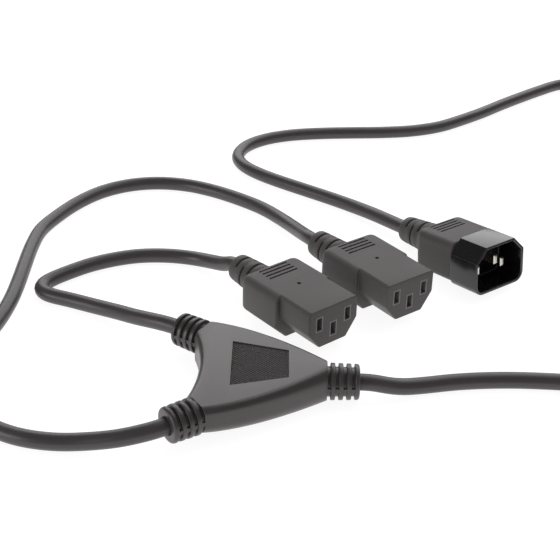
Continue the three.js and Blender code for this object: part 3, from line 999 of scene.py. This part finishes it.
    def build(self) -> bpy.types.Object:
        """Models the body, places it and dresses it.

        Returns:
            The piece that stands for the CAD body.
        """
        piece = Bench.lofted("splitter_body_moulding", self.rings())
        reach = 40.0
        for frame in self.boot_places()[:2]:
            slab = Bench.block("slab", (-reach, -20.0, -reach), (0.0, 20.0, reach))
            Bench.join(piece, [Bench.move(slab, frame)], Combine.CUT)
        Bench.join(piece, [self.saddle()], Combine.CUT)
        for frame in self.boot_places():
            Bench.join(piece, [Bench.move(self.boot.build("boot"), frame)], Combine.ADD)
        for frame in self.boot_places():
            bore = Bench.move(self.boot.bore(self.carrier_inward + 2, self.bore_radius), frame)
            Bench.join(piece, [bore], Combine.CUT)
        Bench.join(piece, [self.pocket(), self.patch()], Combine.CUT)
        floor = self.height - self.patch_depth
        for polygon in piece.data.polygons:
            in_patch = abs(polygon.center.z - floor) < 0.01 and abs(polygon.normal.z) > 0.99
            polygon.material_index = int(in_patch)
        Bench.finish(piece, Matrix.Identity(4))
        dress(piece, OVERMOULD, PATCH)
        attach(piece, "root")
        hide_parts("splitter_body")
        return piece


# Connectors


def contact_spots(offset: float, phase: float, earth: float) -> list[tuple[float, float]]:
    """Where a connector's three contacts are.

    Args:
        offset: Distance of the outer contacts from the middle.
        phase: Height of the outer contacts.
        earth: Height of the middle contact.

    Returns:
        The contacts' middles (y, z).
    """
    return [(-offset, phase), (0.0, earth), (offset, phase)]


@dataclass(frozen=True)
class GripGrooves:
    """The finger grooves across a grip's top."""

    count: int = 4
    pitch: float = 2.2
    from_rear: float = 2.6
    half: float = 7.0
    wide: float = 0.9
    depth: float = 0.6

    def forms(self, rear: float, top: float) -> list[bpy.types.Object]:
        """The forms that cut the grooves.

        Args:
            rear: The grip's rear face.
            top: The grip's top face.

        Returns:
            One box for each groove.
        """
        starts = [rear + self.from_rear + i * self.pitch for i in range(self.count)]
        half = self.wide / 2
        return [
            Bench.block("groove", (x - half, -self.half, top - self.depth), (x + half, self.half, top + 1))
            for x in starts
        ]


CONNECTOR_BOOT = Boot(19.5, 7.1, 5.7, 1.1, 1.1, 2.6, 4.0, 4)


@dataclass(frozen=True)
class Socket:
    """An appliance socket's overmoulding with its boot."""

    name: str
    place: Place
    nose_length: float = 17.0
    nose_half: float = 12.0
    nose_low: float = 3.0
    top: float = 19.5
    nose_edge: float = 1.5
    chamfer_across: float = 5.4
    chamfer_up: float = 7.0
    grip_rear: float = -39.0
    grip_half: float = 14.0
    grip_edge: float = 3.0
    boot_height: float = 9.75
    phase_height: float = 13.3
    earth_height: float = 9.3
    phase_offset: float = 7.0
    window_wide: float = 3.6
    window_high: float = 6.5
    carrier_half: float = 10.4
    carrier_low: float = 5.0
    carrier_high: float = 17.4
    carrier_chamfer: float = 4.6
    carrier_rear: float = -28.3
    carrier_front: float = -1.7
    core_hole_x: float = -20.4
    core_hole_radius: float = 0.8
    core_hole_depth: float = 1.4
    bore_radius: float = 3.2
    boot: Boot = CONNECTOR_BOOT
    grooves: GripGrooves = GripGrooves()

    def nose(self) -> bpy.types.Object:
        """The long front half with chamfered lower corners.

        Returns:
            The form.
        """
        section = Section(
            self.nose_half, self.nose_low, self.top, self.nose_edge, self.chamfer_across, self.chamfer_up,
        )
        rings = [section.ring(-self.nose_length - 2), section.ring(-6.0), *rounded_front(section, 0.0, 0.45)]
        return Bench.lofted("nose", rings)

    def grip(self) -> bpy.types.Object:
        """The wider rear half with rounded edges.

        Returns:
            The form.
        """
        section = Section(
            self.grip_half, 0.0, self.top, self.grip_edge, self.chamfer_across, self.chamfer_across,
        )
        return Bench.lofted("grip", grip_rings(section, self.grip_rear, -self.nose_length, 0.9))

    def windows(self) -> list[bpy.types.Object]:
        """The forms of the three windows that show the contact carrier.

        Returns:
            The forms to cut away.
        """
        half, tall = self.window_wide / 2, self.window_high / 2
        return [
            Bench.block("window", (self.carrier_front - 1, y - half, z - tall), (1.0, y + half, z + tall))
            for y, z in contact_spots(self.phase_offset, self.phase_height, self.earth_height)
        ]

    def pocket(self) -> bpy.types.Object:
        """The form of the pocket that holds the contact carrier.

        Returns:
            The form to cut away.
        """
        section = Section(
            self.carrier_half, self.carrier_low, self.carrier_high, 1.0, self.carrier_chamfer,
            self.carrier_chamfer, steps=1,
        )
        return Bench.lofted("pocket", [section.ring(self.carrier_rear), section.ring(self.carrier_front)])

    def core_hole(self) -> bpy.types.Object:
        """The form of the small hole that the mould's core pin leaves.

        Returns:
            The form to cut away.
        """
        Bench.clear()
        bpy.ops.mesh.primitive_cylinder_add(
            vertices=24, radius=self.core_hole_radius, depth=2 * self.core_hole_depth,
            location=(self.core_hole_x, 0.0, self.top),
        )
        hole = bpy.context.active_object
        bpy.ops.object.transform_apply(location=True, rotation=True, scale=True)
        return hole

    def build(self) -> bpy.types.Object:
        """Models the moulding, places it and dresses it.

        Returns:
            The piece that stands for the CAD socket body.
        """
        piece = self.grip()
        piece.name = f"{self.name}_moulding"
        rear = Matrix.Translation((self.grip_rear, 0.0, self.boot_height))
        Bench.join(piece, [self.nose(), Bench.move(self.boot.build("boot"), rear)], Combine.ADD)
        bore = Bench.move(self.boot.bore(self.carrier_rear - self.grip_rear + 1, self.bore_radius), rear)
        cuts = [bore, self.pocket(), *self.windows(), *self.grooves.forms(self.grip_rear, self.top)]
        Bench.join(piece, [*cuts, self.core_hole()], Combine.CUT)
        Bench.finish(piece, self.place.matrix())
        dress(piece, CONNECTOR)
        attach(piece, "root")
        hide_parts(f"{self.name}_body")
        return piece


@dataclass(frozen=True)
class Plug:
    """The appliance plug: a grip with its boot and a glossy shroud."""

    place: Place
    shroud_length: float = 15.2
    half: float = 13.7
    high: float = 20.4
    chamfer_across: float = 5.8
    chamfer_up: float = 5.9
    low_radius: float = 4.4
    wall: float = 1.25
    cavity: float = 13.0
    base_rear: float = -24.0
    base_half: float = 9.6
    base_low: float = 4.2
    base_high: float = 16.4
    grip_rear: float = -37.0
    grip_half: float = 12.6
    grip_top: float = 18.9
    grip_edge: float = 3.0
    earth_height: float = 12.2
    phase_height: float = 8.2
    phase_offset: float = 7.0
    pin_wide: float = 2.0
    pin_high: float = 4.0
    pin_rear: float = -27.0
    pin_gap: float = 0.08
    gap: float = 0.1
    boot_height: float = 9.75
    bore_radius: float = 3.2
    boot: Boot = CONNECTOR_BOOT
    grooves: GripGrooves = GripGrooves()

    def outline(self, x: float, inset: float) -> Ring:
        """The shroud's section, with chamfered top corners and round lower ones.

        Args:
            x: Where the section is.
            inset: How far every side is moved inwards.

        Returns:
            The section's points.
        """
        half, low, high = self.half - inset, inset, self.high - inset
        radius = max(self.low_radius - inset, 0.3)
        slant = inset * 0.41
        side = Vector((half, self.high - self.chamfer_up - slant))
        top = Vector((self.half - self.chamfer_across - slant, high))
        soft = 0.5
        lean = (top - side).normalized() * soft
        right = arc(half - radius, low + radius, radius, -90, 0, 8)
        right += [(side.x, side.y - soft), tuple(side + lean * 0.35), tuple(side + lean * 1.2)]
        right += [tuple(top - lean * 1.2), tuple(top - lean * 0.35), (top.x - soft, top.y)]
        left = [(-y, z) for y, z in reversed(right)]
        return [Vector((x, y, z)) for y, z in right + left]

    def base(self, gap: float) -> bpy.types.Object:
        """The block behind the cavity that the grip is moulded round.

        Args:
            gap: How much larger than the block it is on every side.

        Returns:
            The block.
        """
        return Bench.block(
            "base", (self.base_rear - gap, -self.base_half - gap, self.base_low - gap),
            (-self.shroud_length + 0.5, self.base_half + gap, self.base_high + gap),
        )

    def shroud(self) -> bpy.types.Object:
        """Models and dresses the shroud.

        Returns:
            The piece that stands for the CAD shroud.
        """
        soft = 0.35
        rings = [self.outline(-self.shroud_length, soft), self.outline(-self.shroud_length + soft, 0.0)]
        rings += [
            self.outline(-soft * (1 - math.sin(a)), soft * (1 - math.cos(a)))
            for a in (QUARTER * i / 4 for i in range(5))
        ]
        piece = Bench.lofted("plug_shroud_moulding", rings)
        Bench.join(piece, [self.base(0.0)], Combine.ADD)
        hollow = [self.outline(-self.cavity, self.wall + 0.3), self.outline(-self.cavity + 0.3, self.wall)]
        hollow += [self.outline(-soft, self.wall), *[self.outline(x, self.wall - soft) for x in (0.05, 1.0)]]
        half, tall = self.pin_wide / 2 + self.pin_gap, self.pin_high / 2 + self.pin_gap
        rear, front = self.base_rear - 1, -self.cavity + 1
        holes = [
            Bench.block("pin_hole", (rear, y - half, z - tall), (front, y + half, z + tall))
            for y, z in contact_spots(self.phase_offset, self.phase_height, self.earth_height)
        ]
        Bench.join(piece, [Bench.lofted("hollow", hollow), *holes], Combine.CUT)
        Bench.finish(piece, self.place.matrix())
        dress(piece, SHROUD)
        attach(piece, "root")
        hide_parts("plug_shroud")
        return piece

    def grip(self) -> bpy.types.Object:
        """Models and dresses the grip.

        Returns:
            The piece that stands for the CAD grip.
        """
        section = Section(self.grip_half, GRIP_LOW, self.grip_top, self.grip_edge, low_radius=3.0)
        front = -self.shroud_length - self.gap
        piece = Bench.lofted("plug_grip_moulding", grip_rings(section, self.grip_rear, front, 0.5))
        rear = Matrix.Translation((self.grip_rear, 0.0, self.boot_height))
        Bench.join(piece, [Bench.move(self.boot.build("boot"), rear)], Combine.ADD)
        bore = Bench.move(self.boot.bore(self.pin_rear - self.grip_rear, self.bore_radius), rear)
        tail = self.phase_offset + self.pin_wide
        low, high = (self.pin_rear - 1, -tail, self.base_low + 1), (self.base_rear, tail, self.base_high - 1)
        room = Bench.block("pin_room", low, high)
        cuts = [bore, room, self.base(self.gap), *self.grooves.forms(self.grip_rear, self.grip_top)]
        Bench.join(piece, cuts, Combine.CUT)
        Bench.finish(piece, self.place.matrix())
        dress(piece, CONNECTOR)
        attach(piece, "root")
        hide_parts("plug_grip")
        return piece


# Cords


@dataclass(frozen=True)
class Coil:
    """The trunk cord's spare length: one flat turn inwards, then more turns on top of it outwards."""

    x: float = 166.0
    y: float = 47.0
    inner: float = 34.0
    pitch: float = 6.4
    turns: float = 2.25
    climb_from: float = 0.85
    climb: float = 0.4
    steps_per_turn: int = 36

    def points(self, rest: float, diameter: float) -> list[Vector]:
        """The coil's centre line, from its lowest point on the plan, counterclockwise.

        Args:
            rest: Height of the centre line of a cord that lies on the surface.
            diameter: The cord's diameter.

        Returns:
            The points in the row frame.
        """
        count = round(self.turns * self.steps_per_turn)
        points = []
        for i in range(count + 1):
            turn = self.turns * i / count
            radius = self.inner + self.pitch * abs(1 - turn)
            rise = min(max((turn - self.climb_from) / self.climb, 0.0), 1.0)
            angle = 2 * math.pi * turn - math.pi / 2
            height = rest + diameter * rise * rise * (3 - 2 * rise)
            x, y = self.x + radius * math.cos(angle), self.y + radius * math.sin(angle)
            points.append(Vector((x, y, height)))
        return points


@dataclass(frozen=True)
class Cord:
    """A free cord on its route."""

    name: str
    route: list[Vector]
    exit: Vector
    length: float
    far_end: FarEnd
    nodes: tuple[str, ...]
    ends_in: tuple[str, ...]
    diameter: float
    step: float = 1.6
    ease: int = 5

    def curve_points(self) -> list[Vector]:
        """A smooth line through the route, a step apart.

        Returns:
            The line's points.
        """
        spaced = self.spaced(self.through(self.route))
        for _ in range(self.ease):
            middle = [(a + b * 2 + c) / 4 for a, b, c in zip(spaced, spaced[1:], spaced[2:])]
            spaced = [spaced[0], *middle, spaced[-1]]
        return spaced

    def through(self, route: Sequence[Vector]) -> list[Vector]:
        """A centripetal spline through the route's points.

        Args:
            route: The points.

        Returns:
            Close points on the spline.
        """
        padded = [route[0] * 2 - route[1], *route, route[-1] * 2 - route[-2]]
        line = []
        for a, b, c, d in zip(padded, padded[1:], padded[2:], padded[3:]):
            t1 = math.sqrt((b - a).length)
            t2 = t1 + math.sqrt((c - b).length)
            t3 = t2 + math.sqrt((d - c).length)
            steps = max(4, round((c - b).length / 0.8))
            for i in range(steps):
                t = t1 + (t2 - t1) * i / steps
                first = a * ((t1 - t) / t1) + b * (t / t1)
                second = b * ((t2 - t) / (t2 - t1)) + c * ((t - t1) / (t2 - t1))
                third = c * ((t3 - t) / (t3 - t2)) + d * ((t - t2) / (t3 - t2))
                left = first * ((t2 - t) / t2) + second * (t / t2)
                right = second * ((t3 - t) / (t3 - t1)) + third * ((t - t1) / (t3 - t1))
                line.append(left * ((t2 - t) / (t2 - t1)) + right * ((t - t1) / (t2 - t1)))
        return [*line, route[-1]]

    def spaced(self, line: Sequence[Vector]) -> list[Vector]:
        """The same line with points an equal step apart.

        Args:
            line: Close points.

        Returns:
            Points about a step apart, ends kept.
        """
        total = sum((b - a).length for a, b in zip(line, line[1:]))
        count = round(total / self.step)
        step = total / count
        points, gone, wanted = [line[0]], 0.0, step
        for a, b in zip(line, line[1:]):
            piece = (b - a).length
            while piece > 0 and gone + piece >= wanted and len(points) < count:
                points.append(a.lerp(b, (wanted - gone) / piece))
                wanted += step
            gone += piece
        return [*points, line[-1]]

    def build(self) -> bpy.types.Object:
        """Returns:
            The cord.
        """
        points = self.curve_points()
        total = sum((b - a).length for a, b in zip(points, points[1:]))
        LOG.info("%s: route %.1f mm", self.name, total)
        data = bpy.data.curves.new(self.name, "CURVE")
        data.dimensions = "3D"
        data.bevel_depth = self.diameter / 2 * MM
        data.bevel_resolution = 6
        data.use_fill_caps = True
        spline = data.splines.new("POLY")
        spline.points.add(len(points) - 1)
        for target, point in zip(spline.points, points):
            target.co = (*(point * MM), 1.0)
        spline.use_smooth = True
        cord = bpy.data.objects.new(self.name, data)
        bpy.context.scene.collection.objects.link(cord)
        dress(cord, JACKET)
        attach(cord, "root")
        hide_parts(*self.nodes)
        return cord

    def declare(self, cord: bpy.types.Object) -> None:
        """Does nothing with the cord.

        Args:
            cord: The built cord; not used.
        """


class Lead:
    """The three cords' routes between the Y body and the connectors."""

    rest = 3.1
    diameter = 6.2
    boot_height = 9.75
    straight = 4.0
    socket_stops = (-63.5, -58.5, -39.0, -30.0)
    plug_stops = (-62.5, -56.5, -37.0, -30.0)

    def __init__(self, body: SplitterBody) -> None:
        """Keeps the body that the cords leave."""
        self.body = body

    def points(self, *spots: tuple[float, ...]) -> list[Vector]:
        """Route points; one without a height lies on the surface."""
        return [Vector(spot if len(spot) == 3 else (*spot, self.rest)) for spot in spots]

    def branch_start(self, side: int) -> list[Vector]:
        """The straight stretch inside a branch boot and just out of it.

        Args:
            side: 1 for the branch at +y, -1 for the other.

        Returns:
            The stretch's points.
        """
        body = self.body
        length = body.boot.length
        outs = (body.clearance - body.carrier_inward, 0.0, length, length + self.straight)
        return [body.branch_point(side, out) for out in outs]

    def branch_a(self) -> Cord:
        """The short branch to the near socket.

        Returns:
            The cord.
        """
        route = self.branch_start(1) + self.points(
            (-42, 36.9, 7.7), (-49.4, 41.8, 6.3), (-57, 47.6, 4.8), (-65, 52.8, 3.6), (-73, 57), (-80, 60),
            (-85.6, 62), (-89.6, 64.8), (-91.2, 68.8), (-89.6, 73), (-85.4, 78), (-80, 83), (-74, 88),
            (-66, 92.6), (-56, 96.4), (-46, 97.6), (-36, 96.8), (-28, 94, 3.5), (-21.5, 88.6, 5.2),
            (-16, 82.4, 7.8),
        ) + [SOCKET_A.on_axis(x, self.boot_height) for x in self.socket_stops]
        return Cord(
            "branch_cord_a", route, self.body.branch_point(1, self.body.boot.length), 0.219, FarEnd.CONNECTOR,
            ("cord_branch_a",), socket_pieces("socket_a"), self.diameter,
        )

    def branch_b(self) -> Cord:
        """The long branch to the far socket, which leaves the view on the left and comes back.

        Returns:
            The cord.
        """
        route = self.branch_start(-1) + self.points(
            (-39.7, -34, 7.8), (-45.5, -34.7, 6.6), (-52, -34.4, 5.2), (-58.5, -33.6, 3.9), (-66, -33.1),
            (-73, -32.5), (-80, -30.9), (-88, -27.4), (-97, -20.4), (-104, -10), (-108, 3), (-108, 17),
            (-105.2, 31), (-102.6, 44), (-101.2, 58), (-101, 72), (-101.3, 88), (-101.4, 104), (-100.2, 119),
            (-95, 133.5), (-87.6, 148), (-78, 160), (-66, 167.6), (-53, 170.4), (-39, 168.6), (-26, 162.8),
            (-14, 154.8), (-3, 145.6), (5.4, 134.8, 3.5), (11, 124, 5), (15.6, 112, 7.6),
        ) + [SOCKET_B.on_axis(x, self.boot_height) for x in self.socket_stops]
        return Cord(
            "branch_cord_b", route, self.body.branch_point(-1, self.body.boot.length), 0.445,
            FarEnd.CONNECTOR, ("cord_branch_b",), socket_pieces("socket_b"), self.diameter,
        )

    def trunk(self) -> Cord:
        """The trunk, with its spare length coiled beyond the view on the right.

        Returns:
            The cord.
        """
        height = self.body.trunk_height
        end = self.body.end_x
        length = self.body.boot.length
        front = self.points(
            (self.body.carrier_front + self.body.clearance, 0, height), (end, 0, height),
            (end + length, 0, height), (end + length + self.straight, 0, height), (44, 0.3, 5.3),
            (50, 1.5, 3.9), (59, 3.9, 3.2), (69, 6.2), (80, 7.6), (92, 8.2), (105, 7.8), (118, 7), (131, 6.5),
            (143.6, 6.4), (155, 6.5),
        )
        back = self.points(
            (208.2, 60, 9.3), (208.4, 67.8, 9), (208.8, 82, 6.6), (209, 98, 3.9), (209, 116), (209, 140),
            (209, 170), (209, 200), (209, 232), (208.6, 262), (206.4, 288), (199, 309), (186, 320.6),
            (171, 318.6), (157, 308), (144, 296.4), (131, 284.2), (118, 271.2), (105, 259.6), (91, 248.8),
            (76, 242.4), (60, 239.4), (43, 238), (26, 236.2), (10, 232.8), (-3, 226.4), (-12.4, 216.4),
            (-16, 203.6), (-12.4, 192.4), (-4.4, 183), (6, 174.4), (18, 165.6), (30, 156.8), (41, 147.4, 3.4),
            (49.6, 137.4, 4.5),
        ) + [PLUG.on_axis(x, self.boot_height) for x in self.plug_stops]
        route = front + Coil().points(self.rest, self.diameter) + back
        pins = tuple(f"plug_pin_{core}" for core in ("line", "earth", "neutral"))
        return Cord(
            "trunk_cord", route, Vector((end + length, 0, height)), 1.352, FarEnd.PLUG,
            ("cord_trunk_front", "cord_trunk_coil", "cord_trunk_back"),
            ("plug_grip_moulding", "plug_shroud_moulding", *pins), self.diameter,
        )


def socket_pieces(name: str) -> tuple[str, ...]:
    """Names of the pieces of one socket.

    Args:
        name: The socket's name.

    Returns:
        The moulding and the CAD nodes inside it.
    """
    inner = ("contact_carrier", "contact_line", "contact_earth", "contact_neutral")
    return (f"{name}_moulding", *[f"{name}_{part}" for part in inner])


CARRIED_OVER = {
    "contact_carrier": INNER,
    "contact_line": BRASS,
    "contact_earth": BRASS,
    "contact_neutral": BRASS,
    "plug_pin": NICKEL,
    "splice_carrier": INNER,
    "splice_crimp": COPPER,
}


def dress_cad_nodes(names: Iterable[str]) -> None:
    """Gives every CAD node that stays its finish.

    Args:
        names: The CAD nodes' names.
    """
    for name in names:
        for part, finish in CARRIED_OVER.items():
            if part in name and name in bpy.data.objects:
                dress(bpy.data.objects[name], finish)
                LOG.info("%s: %s", name, finish.name)


# Studio


@dataclass(frozen=True)
class Studio:
    """A plain pale floor, soft light, and the camera that took the photograph."""

    focal_pixels: float = 1177.6
    sensor: float = 36.0
    eye: Point = (3.36, -345.38, 244.4)
    heading: tuple[float, float] = (0.0063, 1.0)
    pitch: float = 29.66
    roll: float = 1.28
    paper: float = 0.28
    paper_glow: float = 0.9
    surround: float = 0.35
    surround_mirrored: float = 0.12

    def camera(self) -> bpy.types.Object:
        """Adds the camera and makes it the scene's own.

        Returns:
            The camera.
        """
        data = bpy.data.cameras.new("photo_camera")
        data.sensor_width = self.sensor
        data.lens = self.focal_pixels / PICTURE * self.sensor
        data.clip_start = 0.01
        data.clip_end = 50.0
        camera = bpy.data.objects.new("photo_camera", data)
        bpy.context.scene.collection.objects.link(camera)
        pitch, roll = math.radians(self.pitch), math.radians(self.roll)
        level = Vector((*self.heading, 0.0)).normalized()
        forward = level * math.cos(pitch) - Vector((0, 0, math.sin(pitch)))
        right = forward.cross(Vector((0, 0, 1))).normalized()
        up = right.cross(forward)
        turned_right = right * math.cos(roll) + up * math.sin(roll)
        turned_up = up * math.cos(roll) - right * math.sin(roll)
        axes = Matrix((turned_right, turned_up, -forward)).transposed().to_4x4()
        camera.matrix_world = Matrix.Translation(Vector(self.eye) * MM) @ axes
        bpy.context.scene.camera = camera
        return camera

    def floor(self) -> None:
        """Adds the pale floor, which glows like a light table and keeps a share of the shadows."""
        Bench.clear()
        bpy.ops.mesh.primitive_plane_add(size=8.0, location=(0, 0, 0))
        floor = bpy.context.active_object
        floor.name = "floor"
        material = bpy.data.materials.new("floor_white")
        material.use_nodes = True
        material.node_tree.nodes.clear()
        graph = Graph(material.node_tree)
        paper = graph.add("ShaderNodeBsdfDiffuse")
        graph.put(paper, "Color", (self.paper, self.paper, self.paper, 1.0))
        glow = graph.add("ShaderNodeEmission")
        graph.put(glow, "Color", (1.0, 1.0, 1.0, 1.0))
        graph.put(glow, "Strength", self.paper_glow)
        mix = graph.add("ShaderNodeAddShader")
        graph.put(mix, 0, paper.outputs[0])
        graph.put(mix, 1, glow.outputs[0])
        out = graph.add("ShaderNodeOutputMaterial")
        graph.put(out, "Surface", mix.outputs[0])
        floor.data.materials.append(material)

    def world(self) -> None:
        """Sets a surround that is white to the camera, dimmer as a light and dimmer still in reflections."""
        world = bpy.data.worlds.new("surround")
        bpy.context.scene.world = world
        world.use_nodes = True
        world.node_tree.nodes.clear()
        graph = Graph(world.node_tree)
        sky = graph.add("ShaderNodeBackground")
        graph.put(sky, "Color", (1.0, 1.0, 1.0, 1.0))
        path = graph.add("ShaderNodeLightPath")
        seen = graph.math("MULTIPLY", path.outputs["Is Camera Ray"], 1 - self.surround)
        lost = self.surround - self.surround_mirrored
        mirrored = graph.math("MULTIPLY", path.outputs["Is Glossy Ray"], lost)
        graph.put(sky, "Strength", graph.math("SUBTRACT", graph.math("ADD", seen, self.surround), mirrored))
        out = graph.add("ShaderNodeOutputWorld")
        graph.put(out, "Surface", sky.outputs[0])

    def lamp(self, name: str, spot: Point, aim: Point, size: tuple[float, float], power: float) -> None:
        """Adds one soft box.

        Args:
            name: The lamp's name.
            spot: Where it stands, in metres.
            aim: What it faces, in metres.
            size: Its width and height in metres.
            power: Its power in watts.
        """
        data = bpy.data.lights.new(name, "AREA")
        data.shape = "RECTANGLE"
        data.size, data.size_y = size
        data.energy = power
        lamp = bpy.data.objects.new(name, data)
        bpy.context.scene.collection.objects.link(lamp)
        lamp.location = spot
        lamp.rotation_euler = (Vector(aim) - Vector(spot)).to_track_quat("-Z", "Y").to_euler()

    def build(self) -> None:
        """Adds the whole studio."""
        bpy.context.scene.view_settings.view_transform = "Standard"
        self.floor()
        self.world()
        self.lamp("top_softbox", (0.45, 0.5, 1.1), (0.02, 0.09, 0.0), (0.7, 0.7), 2.5)
        self.lamp("side_fill", (-0.95, -0.5, 0.3), (0.02, 0.06, 0.0), (0.6, 0.5), 3.5)
        self.lamp("back_softbox", (0.15, 1.35, 0.8), (0.02, 0.09, 0.0), (2.2, 1.1), 16.0)


def main() -> None:
    """Builds the scene in order: camera and cords, then mouldings, CAD nodes and studio."""
    logging.basicConfig(level=logging.INFO, format="%(message)s")
    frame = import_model()
    Effects.moulded_surface()
    Effects.edge_wear_and_painted_glint()
    Effects.mottle()
    for finish in FINISHES:
        finish.make()
    studio = Studio()
    studio.camera()
    body = SplitterBody()
    lead = Lead(body)
    cords = [lead.branch_a(), lead.branch_b(), lead.trunk()]
    built = [cord.build() for cord in cords]
    body.build()
    LOG.info("splitter body built")
    for socket in (Socket("socket_a", SOCKET_A), Socket("socket_b", SOCKET_B)):
        socket.build()
        LOG.info("%s built", socket.name)
    plug = Plug(PLUG)
    plug.shroud()
    plug.grip()
    LOG.info("plug built")
    dress_cad_nodes(frame["nodes"])
    for cord, piece in zip(cords, built):
        cord.declare(piece)
    studio.build()


if __name__ == "__main__":
    main()
